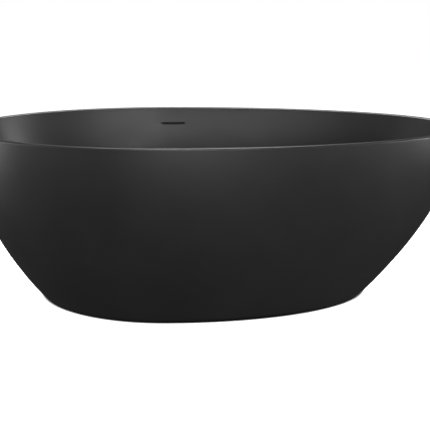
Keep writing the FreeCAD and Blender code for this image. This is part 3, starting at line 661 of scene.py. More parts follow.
def nut_form(x, y, low, high):
    """A hexagon nut with turned corners and a chamfered bore."""
    bore = NUT_BORE
    crown = NUT_FLATS / 2
    chamfer = (NUT_FLATS / math.sqrt(3) - crown) * 0.55
    full = hexagon(NUT_FLATS)
    turned = hexagon(NUT_FLATS, crown)
    profile = [(bore, low + 0.6), (bore + 0.6, low), (turned, low), (full, low + chamfer),
               (full, high - chamfer), (turned, high), (bore + 0.6, high), (bore, high - 0.6)]
    return spin(profile, x, y, hoop=True, columns=72)


def make_nuts(node, name, material):
    low, high = span(node, 2)
    forms = [nut_form(*foot_place(number), low, high) for number in FEET]
    return stand_in(name, join(*forms), material, "zinc_steel", "root", node)


# ---------------------------------------------------------------- waste and plug

BARREL_RADIUS = 22.5
BARREL_BORE = 20.0
BARREL_THREAD = 0.7
BARREL_PITCH = 2.3
FLANGE_LIP = 1.5
SPIDER_Z = (112.0, 124.0)
HUB_BORE = 6.05
HUB_RADIUS = 8.0
ARM_HALF = 1.5
CAP_CROWN = 2.5             # height of the plug's dome
CAP_STEPS = 20
SPRING_WIRE = 0.45
SPRING_TURNS = 7
NUT_LOBES = 12
LOBE_DEPTH = 2.2
TAIL_HOLE = 19.55           # the slip nut's hole for the tailpiece, and its thread's radius
NUT_THREAD = 24.05
NUT_LIP = 4.0
TAIL_WALL = 2.5

# CAD node, piece, body, bore's radius, easing of the edges
SEAL_RINGS = (
    ("plug_seal", "plug_soft_seal", "plug", 23.0, 0.9),
    ("flange_seal", "flange_flat_seal", "root", 22.5, 0.2),
    ("shoe_gasket", "shoe_flat_gasket", "root", 24.5, 0.8),
    ("outlet_washer", "outlet_ring", "root", 19.5, 0.8),
)


def make_waste_flange(material):
    """Bright flange with a rolled edge, a threaded barrel and the spider under the plug."""
    bottom = span("waste_flange", 2)[0]
    bore, barrel = BARREL_BORE, BARREL_RADIUS
    plate = FLANGE_Z
    lip = FLANGE_LIP
    edge = [(bore, plate), (bore, WASTE_Z - lip), (bore + lip, WASTE_Z),
            (FLANGE_RADIUS - lip, WASTE_Z), (FLANGE_RADIUS, plate + lip / 2), (FLANGE_RADIUS, plate)]
    profile = eased(edge, 0.8, steps=4)
    profile += [(barrel - 0.8, plate - 0.4)]
    profile += threaded(barrel, BARREL_THREAD, BARREL_PITCH, bottom + 1.2, plate - 2.0)[::-1]
    profile += [(barrel - 1.0, bottom), (bore, bottom)]
    body = spin(profile, WASTE_X, 0, hoop=True)
    low, high = SPIDER_Z
    hub_edge = [(HUB_BORE, low), (HUB_RADIUS, low), (HUB_RADIUS, high), (HUB_BORE, high)]
    hub = spin(eased(hub_edge, 0.6, closed=True), WASTE_X, 0, hoop=True)
    arms = [arm_form(angle, HUB_RADIUS - 0.4, barrel - 1.0, ARM_HALF, low, high)
            for angle in (0, 90, 180, 270)]
    form = join(body, hub, *arms)
    return stand_in("waste_flange_body", form, material, "chrome", "root", "waste_flange")


def arm_form(degrees, start, end, half, low, high):
    """One arm of the spider, with its upper and lower edges rounded."""
    outline = eased([(-half, low), (half, low), (half, high), (-half, high)], half * 0.8, closed=True)
    turn = math.radians(degrees)
    verts = []
    for along in (start, end):
        for side, z in outline:
            verts.append((WASTE_X + along * math.cos(turn) - side * math.sin(turn),
                          along * math.sin(turn) + side * math.cos(turn), z))
    count = len(outline)
    faces = [(i, (i + 1) % count, count + (i + 1) % count, count + i) for i in range(count)]
    faces += [tuple(range(count)), tuple(range(count, 2 * count))]
    return verts, faces


def make_plug_cap(material):
    """The pressed dome: a flat-domed top that rolls over into a fine rim, hollow underneath."""
    low, high = span("plug_cap", 2)
    radius = radius_of("plug_cap")
    rim = high - CAP_CROWN
    sphere = (radius ** 2 + CAP_CROWN ** 2) / (2 * CAP_CROWN)
    profile = [(0, low + 0.4), (radius - 9, low + 0.4), (radius - 8, low), (radius - 0.8, low)]
    profile += [(radius, low + 0.8), (radius, rim - 1.2)]
    corner = [(radius, rim - 1.2), (radius, rim), (radius - 1.6, dome(radius - 1.6, sphere, high))]
    profile += eased(corner, 1.3, steps=6)[1:-1]
    for i in range(CAP_STEPS + 1):
        reach = (radius - 1.6) * (1 - i / CAP_STEPS)
        profile.append((reach, dome(reach, sphere, high)))
    form = spin(profile, WASTE_X, 0, columns=128)
    return stand_in("plug_dome", form, material, "chrome", "plug", "plug_cap")


def dome(reach, sphere, top):
    return top - sphere + math.sqrt(sphere ** 2 - reach ** 2)


def make_ring(node, name, body, bore, by, material):
    """A turned ring with eased edges, as large as its CAD node."""
    low, high = span(node, 2)
    x, y = middle(node, 0), middle(node, 1)
    radius = radius_of(node)
    edge = eased([(bore, low), (radius, low), (radius, high), (bore, high)], by, closed=True, steps=4)
    return stand_in(name, spin(edge, x, y, hoop=True), material, "seal_rubber", body, node)


def make_slip_nut(material):
    """The slip nut, with grip lobes round its outside."""
    low, high = span("outlet_nut", 2)
    radius = radius_of("outlet_nut")

    def lobed(angle):
        return radius - LOBE_DEPTH * max(0.0, math.cos(NUT_LOBES * angle)) ** 3
    shoulder = radius - LOBE_DEPTH
    profile = [(TAIL_HOLE, low), (radius - 3, low), (shoulder, low + 0.6), (lobed, low + 1.6),
               (lobed, high - 1.6), (shoulder, high - 0.6), (radius - 3, high),
               (NUT_THREAD, high), (NUT_THREAD, low + NUT_LIP), (TAIL_HOLE, low + NUT_LIP)]
    form = spin(profile, WASTE_X, 0, hoop=True, columns=192)
    return stand_in("outlet_slip_nut", form, material, "pipe_plastic", "root", "outlet_nut")


def make_tailpiece(material):
    low, high = span("tailpiece", 2)
    radius = radius_of("tailpiece")
    step = span("outlet_nut", 2)[0]
    insert = radius - 0.5
    bore = radius - TAIL_WALL
    edge = [(bore, low), (radius, low), (radius, step), (insert, step), (insert, high), (bore, high)]
    form = spin(eased(edge, 0.7, closed=True), WASTE_X, 0, hoop=True)
    return stand_in("outlet_tailpiece", form, material, "pipe_plastic", "root", "tailpiece")


def make_cartridge(material):
    """The plug's guide: a threaded brass cup."""
    low, high = span("plug_cartridge", 2)
    radius = radius_of("plug_cartridge")
    bore, stem = radius - 1.2, 3.1
    profile = [(0, low + 1.2), (bore, low + 1.2), (bore, high - 1.2), (stem, high - 1.2), (stem, high)]
    profile += [(radius - 0.8, high), (radius, high - 0.8), (radius, high - 8)]
    profile += threaded(radius, 0.5, 1.25, low + 6, high - 8)[::-1]
    profile += [(radius - 0.3, low + 0.8), (radius - 0.8, low), (0, low)]
    form = spin(profile, WASTE_X, 0, columns=48)
    return stand_in("plug_guide", form, material, "brass", "root", "plug_cartridge")


def make_spring(material):
    """The coil under the piston, at rest; in the real waste it is squashed as the plug is pressed."""
    low, high = span("plug_spring", 2)
    wire = SPRING_WIRE
    coil = radius_of("plug_spring") - wire
    steps = SPRING_TURNS * 36
    points = []
    for i in range(steps + 1):
        angle = 2 * math.pi * SPRING_TURNS * i / steps
        z = low + wire + (high - low - 2 * wire) * i / steps
        points.append(Vector((WASTE_X + coil * math.cos(angle), coil * math.sin(angle), z)))
    piece = finish_mesh("plug_return_spring", *sweep(points, lambda s: wire, 10), material)
    settle(piece, "spring_steel", "root", "plug_spring")
    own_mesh(piece)
    return piece


def sweep(points, radius_at, sides, bore=None):
    """A tube along points; its radius depends on the distance run. A bore leaves it hollow."""
    normal = Vector((0, 0, 1)).cross(points[1] - points[0])
    if normal.length < 1e-6:
        normal = Vector((1, 0, 0))
    run = 0.0
    outer = []
    inner = []
    for i, point in enumerate(points):
        ahead = points[min(i + 1, len(points) - 1)] - points[max(i - 1, 0)]
        ahead.normalize()
        normal = (normal - ahead * normal.dot(ahead)).normalized()
        across = ahead.cross(normal)
        if i:
            run += (point - points[i - 1]).length
        for rings, radius in ((outer, radius_at(run)), (inner, bore or 0)):
            rings.append([point + (normal * math.cos(a) + across * math.sin(a)) * radius
                          for a in (2 * math.pi * j / sides for j in range(sides))])
    if bore:
        rings = outer + inner[::-1]
        pairs = [(n, (n + 1) % len(rings)) for n in range(len(rings))]
    else:
        rings = outer
        pairs = [(n, n + 1) for n in range(len(rings) - 1)]
    verts = [tuple(v) for ring in rings for v in ring]
    faces = []
    for low, high in pairs:
        for j in range(sides):
            k = (j + 1) % sides
            faces.append((low * sides + j, low * sides + k, high * sides + k, high * sides + j))
    if not bore:
        faces += [tuple(range(sides)), tuple(range((len(rings) - 1) * sides, len(rings) * sides))]
    return verts, faces


# ---------------------------------------------------------------- overflow

HOSE_BORE = 9.0
HOSE_RADIUS = 11.0
HOSE_CUFF = 26.0
RIB_PITCH = 4.2
RIB_DEPTH = 1.3
HOSE_LOW_Y = 300.0
HOSE_DROP = 53.0
SPOUT_HEIGHT = 28.0         # of the tray's spout


def hose_route():
    """The hose's smooth line from the tray's spout to the waste, as points."""
    x = middle("overflow_hose", 0)
    end_y, top_y = span("overflow_hose", 1)
    low_z, top_z = span("overflow_hose", 2)
    low_z += HOSE_RADIUS
    top_y -= HOSE_RADIUS
    corner_z = span("overflow_box", 2)[0] + SPOUT_HEIGHT - HOSE_DROP
    route = ((x, top_y, top_z), (x, top_y, corner_z), (x, HOSE_LOW_Y, low_z), (x, end_y, low_z))
    curve = bpy.data.curves.new("hose_route", "CURVE")
    curve.dimensions = "3D"
    spline = curve.splines.new("NURBS")
    spline.points.add(len(route) - 1)
    for point, spot in zip(spline.points, route):
        point.co = (*spot, 1)
    spline.order_u = 3
    spline.use_endpoint_u = True
    spline.resolution_u = 120
    holder = bpy.data.objects.new("hose_route", curve)
    line = bpy.data.meshes.new_from_object(holder)
    points = [v.co.copy() for v in line.vertices]
    bpy.data.objects.remove(holder)
    bpy.data.curves.remove(curve)
    bpy.data.meshes.remove(line)
    return points


def even_points(points, step):
    """Points at equal distances along a line."""
    out = [points[0]]
    left = step
    for a, b in zip(points, points[1:]):
        length = (b - a).length
        while left <= length:
            out.append(a + (b - a) * (left / length))
            left += step
        left -= length
    out.append(points[-1])
    return out


def make_hose(material):
    """Ribbed hose with plain cuffs over the two spigots."""
    points = even_points(hose_route(), RIB_PITCH / 6)
    total = sum((b - a).length for a, b in zip(points, points[1:]))

    def radius_at(run):
        if run < HOSE_CUFF or run > total - HOSE_CUFF:
            return HOSE_RADIUS - 0.1
        wave = math.cos(2 * math.pi * (run - HOSE_CUFF) / RIB_PITCH)
        return HOSE_RADIUS - RIB_DEPTH * (0.5 - 0.5 * math.copysign(abs(wave) ** 0.6, wave))
    form = sweep(points, radius_at, 32, HOSE_BORE)
    return stand_in("overflow_hose_ribbed", form, material, "hose_plastic", "root", "overflow_hose")


# ---------------------------------------------------------------- pieces with eased edges

MERGE = 1e-6
FLAT_ANGLE = math.radians(0.5)
EDGE_ANGLE = math.radians(35)


def make_eased(node, name, slot, by, material, body="root"):
    """A piece shaped like its CAD node, with its edges eased by a radius in millimetres."""
    mesh = bmesh.new()
    mesh.from_mesh(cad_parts[node].data)
    bmesh.ops.remove_doubles(mesh, verts=mesh.verts, dist=MERGE)
    bmesh.ops.dissolve_limit(mesh, angle_limit=FLAT_ANGLE, verts=mesh.verts, edges=mesh.edges)
    edges = [e for e in mesh.edges if len(e.link_faces) == 2 and e.calc_face_angle() > EDGE_ANGLE]
    bmesh.ops.bevel(mesh, geom=edges, offset=by * MM, offset_type="OFFSET", segments=2,
                    profile=0.5, affect="EDGES", clamp_overlap=True)
    data = bpy.data.meshes.new(name)
    mesh.to_mesh(data)
    mesh.free()
    piece = bpy.data.objects.new(name, data)
    bpy.context.scene.collection.objects.link(piece)
    data.materials.append(material)
    return settle(piece, slot, body, node)


# ---------------------------------------------------------------- materials

NOISE_SPAN = (0.3, 0.7)     # where most of a noise's values lie


def new_material(name, colour, roughness, metallic=0.0):
    """A principled material and the handles that its maker needs."""
    material = bpy.data.materials.new(name)
    material.use_nodes = True
    tree = material.node_tree
    shader = tree.nodes["Principled BSDF"]
    shader.inputs["Base Color"].default_value = (*colour, 1)
    shader.inputs["Roughness"].default_value = roughness
    shader.inputs["Metallic"].default_value = metallic
    return material, tree, shader


def place(tree, stretch=(1, 1, 1)):
    """Object-space coordinates, in metres, stretched along each axis."""
    coords = tree.nodes.new("ShaderNodeTexCoord")
    mapping = tree.nodes.new("ShaderNodeMapping")
    mapping.inputs["Scale"].default_value = stretch
    tree.links.new(coords.outputs["Object"], mapping.inputs["Vector"])
    return mapping.outputs["Vector"]


def noise(tree, where, scale, detail=2.0, roughness=0.5):
    node = tree.nodes.new("ShaderNodeTexNoise")
    node.inputs["Scale"].default_value = scale
    node.inputs["Detail"].default_value = detail
    node.inputs["Roughness"].default_value = roughness
    tree.links.new(where, node.inputs["Vector"])
    return node.outputs["Fac"]


def ramp(tree, value, low, high, colours):
    """Two colours, blended as the value goes from low to high."""
    node = tree.nodes.new("ShaderNodeValToRGB")
    node.color_ramp.elements[0].position = low
    node.color_ramp.elements[1].position = high
    for element, colour in zip(node.color_ramp.elements, colours):
        element.color = (*colour, 1)
    tree.links.new(value, node.inputs["Fac"])
    return node.outputs["Color"]


def rescale(tree, value, low, high, to_low, to_high):
    node = tree.nodes.new("ShaderNodeMapRange")
    for name, number in (("From Min", low), ("From Max", high), ("To Min", to_low), ("To Max", to_high)):
        node.inputs[name].default_value = number
    tree.links.new(value, node.inputs["Value"])
    return node.outputs["Result"]


def bump(tree, shader, height, distance, strength=1.0, normal=None):
    node = tree.nodes.new("ShaderNodeBump")
    node.inputs["Distance"].default_value = distance
    node.inputs["Strength"].default_value = strength
    tree.links.new(height, node.inputs["Height"])
    if normal is not None:
        tree.links.new(normal, node.inputs["Normal"])
    tree.links.new(node.outputs["Normal"], shader.inputs["Normal"])
    return node.outputs["Normal"]


def voronoi(tree, where, scale, feature="F1", output="Distance"):
    node = tree.nodes.new("ShaderNodeTexVoronoi")
    node.feature = feature
    node.inputs["Scale"].default_value = scale
    tree.links.new(where, node.inputs["Vector"])
    return node.outputs[output]


def worn_edges(tree):
    """Bright on outer edges, from the pointiness of the surface."""
    geometry = tree.nodes.new("ShaderNodeNewGeometry")
    return rescale(tree, geometry.outputs["Pointiness"], 0.52, 0.60, 0.0, 1.0)


def blend(tree, share, first, second):
    node = tree.nodes.new("ShaderNodeMix")
    node.data_type = "RGBA"
    if share is not None:
        tree.links.new(share, node.inputs["Factor"])
    for name, value in (("A", first), ("B", second)):
        socket = [i for i in node.inputs if i.name == name and i.type == "RGBA"][0]
        if isinstance(value, tuple):
            socket.default_value = (*value, 1)
        else:
            tree.links.new(value, socket)
    return [o for o in node.outputs if o.type == "RGBA"][0]


def drift(tree, shader, where, scale, detail, low, high):
    """Lets the roughness wander between two values."""
    share = noise(tree, where, scale, detail)
    tree.links.new(rescale(tree, share, *NOISE_SPAN, low, high), shader.inputs["Roughness"])


def clouds(tree, where, scale, detail, tones):
    """Two tones in soft clouds."""
    return ramp(tree, noise(tree, where, scale, detail), *NOISE_SPAN, tones)


def mottled(name, plain, tones, cloud, gloss=None, grain=None, ends=NOISE_SPAN, stretch=(1, 1, 1)):
    """Two tones in clouds, a sheen that drifts, and a fine grain that may be stretched.

    plain is the colour, roughness and, for a metal, 1.0, as they are without the nodes;
    cloud is a noise's scale, detail and roughness; gloss is its scale and detail and the two
    roughnesses; grain is its scale and detail and the bump's depth in metres and strength."""
    material, tree, shader = new_material(name, *plain)
    where = place(tree)
    tone = ramp(tree, noise(tree, where, *cloud), *ends, tones)
    tree.links.new(tone, shader.inputs["Base Color"])
    if gloss:
        drift(tree, shader, where, *gloss)
    if grain:
        scale, detail, depth, strength = grain
        bump(tree, shader, noise(tree, place(tree, stretch), scale, detail), depth, strength)
    return material


def satin_acrylic():
    """Matte black gel-coat: fine grain, a slow drift of sheen, and a slight orange peel."""
    material, tree, shader = new_material("satin_black_acrylic", (0.02, 0.02, 0.021), 0.42)
    where = place(tree)
    tone = clouds(tree, where, 3.0, 3.0, [(0.0175, 0.0175, 0.0185), (0.0215, 0.0215, 0.0225)])
    tree.links.new(tone, shader.inputs["Base Color"])
    drift(tree, shader, where, 11.0, 4.0, 0.40, 0.45)
    peel = bump(tree, shader, noise(tree, where, 220.0, 2.0), 0.00004, 0.5)
    bump(tree, shader, noise(tree, where, 1900.0, 2.0), 0.00001, 0.5, peel)
    return material


def fibre_back():
    """The hidden side of a shell: dark resin over chopped glass strands."""
    material, tree, shader = new_material("glass_fibre_back", (0.05, 0.05, 0.048), 0.55)
    where = place(tree)
    sets = []
    for stretch in ((300, 24, 60), (26, 320, 80)):
        strand = noise(tree, place(tree, stretch), 1.0, 3.0, 0.7)
        sets.append(ramp(tree, strand, 0.45, 0.62, [(0, 0, 0), (1, 1, 1)]))
    strands = blend(tree, noise(tree, where, 38.0), *sets)
    tone = blend(tree, strands, (0.030, 0.030, 0.029), (0.085, 0.083, 0.076))
    tree.links.new(tone, shader.inputs["Base Color"])
    drift(tree, shader, where, 16.0, 4.0, 0.34, 0.68)
    lumps = bump(tree, shader, noise(tree, where, 34.0, 5.0), 0.0011, 0.8)
    bump(tree, shader, strands, 0.00035, 0.7, lumps)
    return material


def cured_adhesive():
    """A tooled bead of grey adhesive, slightly lumpy."""
    return mottled("cured_adhesive", ((0.30, 0.29, 0.26), 0.5),
                   [(0.22, 0.21, 0.19), (0.36, 0.35, 0.31)], cloud=(40.0, 4.0),
                   grain=(90.0, 3.0, 0.0008, 0.8))


def chipboard():
    """Pressed chips of mixed size under a thin sealer."""
    material, tree, shader = new_material("chipboard", (0.45, 0.32, 0.2), 0.62)
    where = place(tree, (1, 1.6, 2.5))
    chips = voronoi(tree, where, 210.0, output="Color")
    split = tree.nodes.new("ShaderNodeSeparateColor")
    tree.links.new(chips, split.inputs["Color"])
    tone = ramp(tree, split.outputs["Red"], 0.0, 1.0, [(0.26, 0.16, 0.085), (0.60, 0.45, 0.28)])
    fine = ramp(tree, noise(tree, where, 600.0, 3.0), 0.35, 0.65, [(0.6, 0.6, 0.6), (1, 1, 1)])
    mixed = blend(tree, None, tone, fine)
    mixed.node.blend_type = "MULTIPLY"
    mixed.node.inputs["Factor"].default_value = 0.8
    tree.links.new(mixed, shader.inputs["Base Color"])
    tree.links.new(rescale(tree, split.outputs["Green"], 0, 1, 0.48, 0.75), shader.inputs["Roughness"])
    bump(tree, shader, voronoi(tree, where, 210.0, "DISTANCE_TO_EDGE"), 0.0003, 0.6)
    return material


def powder_coat():
    """Grey powder coat: orange peel, dust, and brighter rubbed edges."""
    material, tree, shader = new_material("grey_powder_coat", (0.26, 0.27, 0.28), 0.45)
    where = place(tree)
    dust = noise(tree, where, 9.0, 5.0, 0.65)
    coat = ramp(tree, dust, 0.35, 0.75, [(0.215, 0.225, 0.235), (0.31, 0.31, 0.305)])
    tone = blend(tree, worn_edges(tree), coat, (0.42, 0.42, 0.41))
    tree.links.new(tone, shader.inputs["Base Color"])
    drift(tree, shader, where, 25.0, 4.0, 0.36, 0.58)
    bump(tree, shader, noise(tree, where, 520.0, 2.0), 0.00012, 0.8)
    return material


def moulded_black():
    """Spark-textured black plastic, a little dusty."""
    return mottled("moulded_black", ((0.02, 0.02, 0.02), 0.55),
                   [(0.016, 0.016, 0.017), (0.045, 0.044, 0.042)], cloud=(45.0, 5.0, 0.7),
                   gloss=(70.0, 3.0, 0.46, 0.66), grain=(1500.0, 1.0, 0.00008, 0.8), ends=(0.35, 0.8))


def softwood():
    """Sawn softwood: growth rings along Y, pores, and rough saw marks."""
    material, tree, shader = new_material("sawn_softwood", (0.55, 0.38, 0.2), 0.7)
    grain = place(tree, (1.0, 0.12, 1.0))
    bands = tree.nodes.new("ShaderNodeTexWave")
    bands.wave_type = "RINGS"
    bands.rings_direction = "Y"
    bands.inputs["Scale"].default_value = 55.0
    bands.inputs["Distortion"].default_value = 3.0
    bands.inputs["Detail"].default_value = 3.0
    tree.links.new(grain, bands.inputs["Vector"])
    tone = ramp(tree, bands.outputs["Fac"], 0.1, 0.9, [(0.62, 0.44, 0.245), (0.41, 0.25, 0.115)])
    fibres = noise(tree, place(tree, (900, 30, 900)), 1.0, 3.0)
    deep = blend(tree, rescale(tree, fibres, 0.5, 0.75, 0.0, 0.6), tone, (0.30, 0.18, 0.08))
    tree.links.new(deep, shader.inputs["Base Color"])
    tree.links.new(rescale(tree, fibres, *NOISE_SPAN, 0.6, 0.82), shader.inputs["Roughness"])
    saw = bump(tree, shader, fibres, 0.0003, 0.8)
    bump(tree, shader, noise(tree, place(tree, (20, 420, 20)), 1.0, 2.0), 0.0002, 0.5, saw)
    return material


def zinc_plate():
    """Bright zinc: faint blue and straw clouds, fine crystals, and brighter worn edges."""
    material, tree, shader = new_material("zinc_plate", (0.6, 0.61, 0.62), 0.32, 1.0)
    where = place(tree)
    cloud = clouds(tree, where, 60.0, 3.0, [(0.50, 0.54, 0.60), (0.66, 0.63, 0.55)])
    tone = blend(tree, worn_edges(tree), cloud, (0.74, 0.74, 0.74))
    tree.links.new(tone, shader.inputs["Base Color"])
    drift(tree, shader, where, 140.0, 4.0, 0.24, 0.46)
    bump(tree, shader, voronoi(tree, where, 900.0), 0.00003, 0.6)
    return material


def foot_rubber():
    """Matte black rubber with a dusty bloom."""
    return mottled("dusty_foot_rubber", ((0.03, 0.03, 0.03), 0.85),
                   [(0.018, 0.018, 0.018), (0.075, 0.072, 0.067)],
                   cloud=(60.0, 6.0, 0.7), gloss=(90.0, 2.0, 0.75, 0.95),
                   grain=(1100.0, 2.0, 0.0001, 0.7), ends=(0.35, 0.8))


def soft_seal():
    """Smooth black nitrile, with fine moulding flow."""
    return mottled("soft_seal", ((0.025, 0.025, 0.026), 0.5),
                   [(0.020, 0.020, 0.021), (0.038, 0.038, 0.039)], cloud=(80.0, 3.0),
                   gloss=(130.0, 3.0, 0.42, 0.6), grain=(700.0, 2.0, 0.00005, 0.6))


def polished_chrome():
    """Chrome plate: hairline scratches and the marks that water leaves."""
    material, tree, shader = new_material("polished_chrome", (0.60, 0.61, 0.62), 0.08, 1.0)
    where = place(tree)
    tone = clouds(tree, where, 70.0, 3.0, [(0.56, 0.57, 0.585), (0.64, 0.645, 0.65)])
    tree.links.new(tone, shader.inputs["Base Color"])
    spots = rescale(tree, voronoi(tree, where, 160.0), 0.10, 0.28, 0.16, 0.05)
    tree.links.new(spots, shader.inputs["Roughness"])
    scratches = noise(tree, place(tree, (2600, 90, 90)), 1.0, 2.0)
    bump(tree, shader, scratches, 0.000006, 0.5)
    return material


def white_pipe():
    """Moulded white polypropylene, faintly mottled."""
    material = mottled("white_pipe_plastic", ((0.74, 0.74, 0.72), 0.38),
                       [(0.76, 0.76, 0.745), (0.66, 0.655, 0.63)], cloud=(14.0, 4.0),
                       gloss=(50.0, 3.0, 0.30, 0.46), grain=(420.0, 2.0, 0.00006, 0.6), ends=(0.3, 0.75))
    shader = material.node_tree.nodes["Principled BSDF"]
    shader.inputs["Subsurface Weight"].default_value = 0.05
    return material


def hose_grey():
    """Extruded grey polyethylene with a waxy sheen."""
    return mottled("hose_grey", ((0.36, 0.37, 0.38), 0.4),
                   [(0.30, 0.31, 0.32), (0.40, 0.41, 0.42)], cloud=(22.0, 4.0),
                   gloss=(60.0, 2.0, 0.32, 0.5), grain=(500.0, 2.0, 0.00008, 0.6))


def turned_brass():
    """Brass with turning marks round the axis and a light tarnish."""
    return mottled("turned_brass", ((0.62, 0.45, 0.18), 0.28, 1.0),
                   [(0.66, 0.49, 0.20), (0.48, 0.33, 0.13)], cloud=(200.0, 3.0),
                   gloss=(300.0, 2.0, 0.2, 0.4), grain=(1.0, 2.0, 0.00001, 0.8),
                   stretch=(5, 5, 6000))


def spring_wire():
    """Drawn spring wire with fine streaks."""
    return mottled("spring_wire", ((0.45, 0.45, 0.46), 0.3, 1.0),
                   [(0.38, 0.38, 0.39), (0.52, 0.52, 0.52)], cloud=(900.0, 3.0),
                   gloss=(2500.0, 2.0, 0.22, 0.42))


# ---------------------------------------------------------------- camera, floor and lights

CAMERA_DISTANCE = 2671.6
CAMERA_ELEVATION = 16.65
CAMERA_AZIMUTH = -0.2
CAMERA_LENS = 62.63
CAMERA_SHIFT = (0.0052, -0.0164)

FLOOR_REACH = 30.0
FLOOR_GLOW = 1.0            # keeps the floor white
GAP_SHADOW = 0.012          # how near the tub the painted contact shadow darkens the floor, in metres
GAP_DARK, GAP_CLEAR = 0.35, 0.8
LIGHT_AIM = Vector((0, 0, 0.35))
GROUND_GLOW = 0.05          # what the floor sends back up at the tub, at most
GLOW_FULL = -60             # elevation at which it sends that much
WHITE = (1, 1, 1, 1)

# A softbox's distance, width and height, in metres.
WIDE = (3.2, 1.6, 1.2)
TALL = (3.0, 0.7, 0.9)
SMALL = (3.2, 0.5, 0.5)

# name, azimuth (0 is on the camera's side, 90 at the long end), elevation, softbox, watts
SOFTBOXES = (
    ("front_low", 0, 5, WIDE, 10),
    ("front_mid", 0, 12, SMALL, 14),
    ("front_turned", 8, 14, SMALL, 5),
    ("front_key", 4, 22, SMALL, 16),
    ("front_left", 315, 5, WIDE, 4),
    ("front_right", 45, 5, WIDE, 5),
    ("right_high", 65, 20, TALL, 8.5),
    ("right_end", 80, 10, SMALL, 52),
    ("left_end", 270, 5, WIDE, 45),
    ("left_high", 295, 20, TALL, 9.5),
    ("back_high", 180, 65, WIDE, 125),
    ("back_right", 135, 5, WIDE, 14),
    ("back_left", 225, 5, WIDE, 14),
)


def towards(azimuth, elevation):
    """Unit vector from the tub towards a place round it; azimuth 0 is on the camera's side."""
    turn, rise = math.radians(azimuth), math.radians(elevation)
    return Vector((math.sin(turn) * math.cos(rise), -math.cos(turn) * math.cos(rise), math.sin(rise)))


def put(thing, back, aim, distance):
    """Puts a camera or light at a distance from what it looks at."""
    bpy.context.scene.collection.objects.link(thing)
    thing.location = aim + back * distance
    thing.rotation_mode = "QUATERNION"
    thing.rotation_quaternion = (-back).to_track_quat("-Z", "Y")


def make_camera():
    camera = bpy.data.objects.new("camera", bpy.data.cameras.new("camera"))
    camera.data.sensor_width = 36.0
    camera.data.lens = CAMERA_LENS
    camera.data.shift_x, camera.data.shift_y = CAMERA_SHIFT
    aim = Vector((0, 0, HEIGHT / 2 * MM))
    put(camera, towards(CAMERA_AZIMUTH, CAMERA_ELEVATION), aim, CAMERA_DISTANCE * MM)
    bpy.context.scene.camera = camera


def mix_shaders(tree, share, first, second, surface):
    mixer = tree.nodes.new("ShaderNodeMixShader")
    for value, socket in zip((share, first, second), mixer.inputs):
        tree.links.new(value, socket)
    tree.links.new(mixer.outputs["Shader"], surface)


def floor_material():
    """White glow, with a painted contact shadow where the tub almost touches, and clear from below."""
    material, tree, shader = new_material("pale_floor", (0.9, 0.9, 0.9), 0.8)
    # ambient occlusion darkens the floor's colour and glow under the tub's edge: a painted contact shadow
    near = tree.nodes.new("ShaderNodeAmbientOcclusion")
    near.inputs["Distance"].default_value = GAP_SHADOW
    unshadowed_share = rescale(tree, near.outputs["AO"], GAP_DARK, GAP_CLEAR, 0.0, 1.0)
    tree.links.new(unshadowed_share, shader.inputs["Base Color"])
    tree.links.new(unshadowed_share, shader.inputs["Emission Color"])
    shader.inputs["Emission Strength"].default_value = FLOOR_GLOW
    side = tree.nodes.new("ShaderNodeNewGeometry")
    clear = tree.nodes.new("ShaderNodeBsdfTransparent")
    mix_shaders(tree, side.outputs["Backfacing"], shader.outputs["BSDF"], clear.outputs["BSDF"],
                tree.nodes["Material Output"].inputs["Surface"])
    return material


def make_floor():
    """A plain pale floor that the camera sees and the dark shells don't reflect."""
    mesh = bpy.data.meshes.new("floor")
    corners = ((-1, -1), (1, -1), (1, 1), (-1, 1))
    mesh.from_pydata([(x * FLOOR_REACH, y * FLOOR_REACH, 0) for x, y in corners], [], [(0, 1, 2, 3)])
    floor = bpy.data.objects.new("floor", mesh)
    bpy.context.scene.collection.objects.link(floor)
    mesh.materials.append(floor_material())
    floor.visible_diffuse = False
    floor.visible_glossy = False


def make_softbox(name, azimuth, elevation, shape, watts):
    distance, width, height = shape
    data = bpy.data.lights.new(name, "AREA")
    data.shape = "RECTANGLE"
    data.size = width
    data.size_y = height
    data.energy = watts
    light = bpy.data.objects.new(name, data)
    put(light, towards(azimuth, elevation), LIGHT_AIM, distance)
    light.visible_camera = False


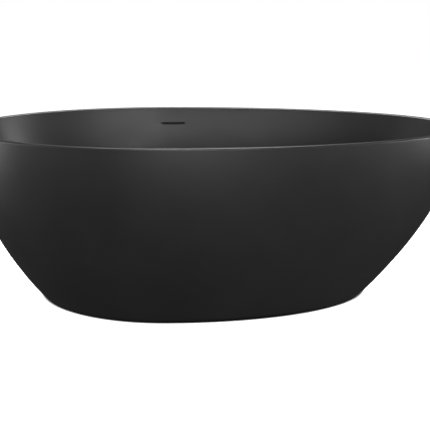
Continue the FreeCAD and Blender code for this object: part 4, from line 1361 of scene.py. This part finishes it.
def make_world():
    """White behind the tub; the tub itself sees only a faint glow from below the horizon."""
    world = bpy.data.worlds.new("studio")
    bpy.context.scene.world = world
    world.use_nodes = True
    tree = world.node_tree
    glow = tree.nodes["Background"]
    glow.inputs["Color"].default_value = WHITE
    coords = tree.nodes.new("ShaderNodeTexCoord")
    split = tree.nodes.new("ShaderNodeSeparateXYZ")
    tree.links.new(coords.outputs["Generated"], split.inputs["Vector"])
    down = math.sin(math.radians(GLOW_FULL))
    strength = rescale(tree, split.outputs["Z"], down, 0.0, GROUND_GLOW, 0.0)
    tree.links.new(strength, glow.inputs["Strength"])
    white = tree.nodes.new("ShaderNodeBackground")
    white.inputs["Color"].default_value = WHITE
    path = tree.nodes.new("ShaderNodeLightPath")
    mix_shaders(tree, path.outputs["Is Camera Ray"], glow.outputs["Background"],
                white.outputs["Background"], tree.nodes["World Output"].inputs["Surface"])


# ---------------------------------------------------------------- build

bpy.context.scene.view_settings.view_transform = "Standard"
acrylic = satin_acrylic()
fibre = fibre_back()
make_basin(acrylic, fibre)
make_skirt(acrylic, fibre)
make_eased("rim_bond", "rim_adhesive", "adhesive", 1.5, cured_adhesive())
make_eased("base_board", "floor_board", "board", 0.8, chipboard())

coat = powder_coat()
for node in ("rail_front", "rail_back", "cross_tube_left", "cross_tube_middle", "cross_tube_right"):
    make_eased(node, "steel_" + node, "frame_paint", 1.6, coat)
wood = softwood()
for side in ("left", "middle", "right"):
    for end in ("front", "back"):
        node = "skirt_block_%s_%s" % (side, end)
        make_eased(node, "wooden_" + node, "block_wood", 1.2, wood)
black = moulded_black()
make_eased("tube_caps", "tube_end_caps", "black_plastic", 0.6, black)
zinc = zinc_plate()
make_eased("block_screws", "block_fixing_screws", "zinc_steel", 0.3, zinc)
make_eased("board_screws", "board_fixing_screws", "zinc_steel", 0.3, zinc)
make_nuts("weld_nuts", "welded_nuts", zinc)
make_nuts("jam_nuts", "locking_nuts", zinc)
rubber = foot_rubber()
for number in FEET:
    make_foot_stud(number, zinc)
    make_foot_pad(number, black)
    make_foot_sole(number, rubber)

chrome = polished_chrome()
seal = soft_seal()
pipe = white_pipe()
make_waste_flange(chrome)
make_plug_cap(chrome)
make_eased("plug_stem", "plug_rod", "chrome", 0.3, chrome, "plug")
for row in SEAL_RINGS:
    make_ring(*row, seal)
make_cartridge(turned_brass())
make_spring(spring_wire())
make_eased("waste_shoe", "waste_tee", "pipe_plastic", 0.8, pipe)
make_slip_nut(pipe)
make_tailpiece(pipe)
make_eased("overflow_box", "overflow_tray", "black_plastic", 0.8, black)
make_eased("overflow_gasket", "overflow_soft_frame", "seal_rubber", 0.5, seal)
make_hose(hose_grey())
make_eased("hose_clamps", "worm_drive_clamps", "zinc_steel", 0.35, zinc)

make_floor()
make_world()
for row in SOFTBOXES:
    make_softbox(*row)
make_camera()
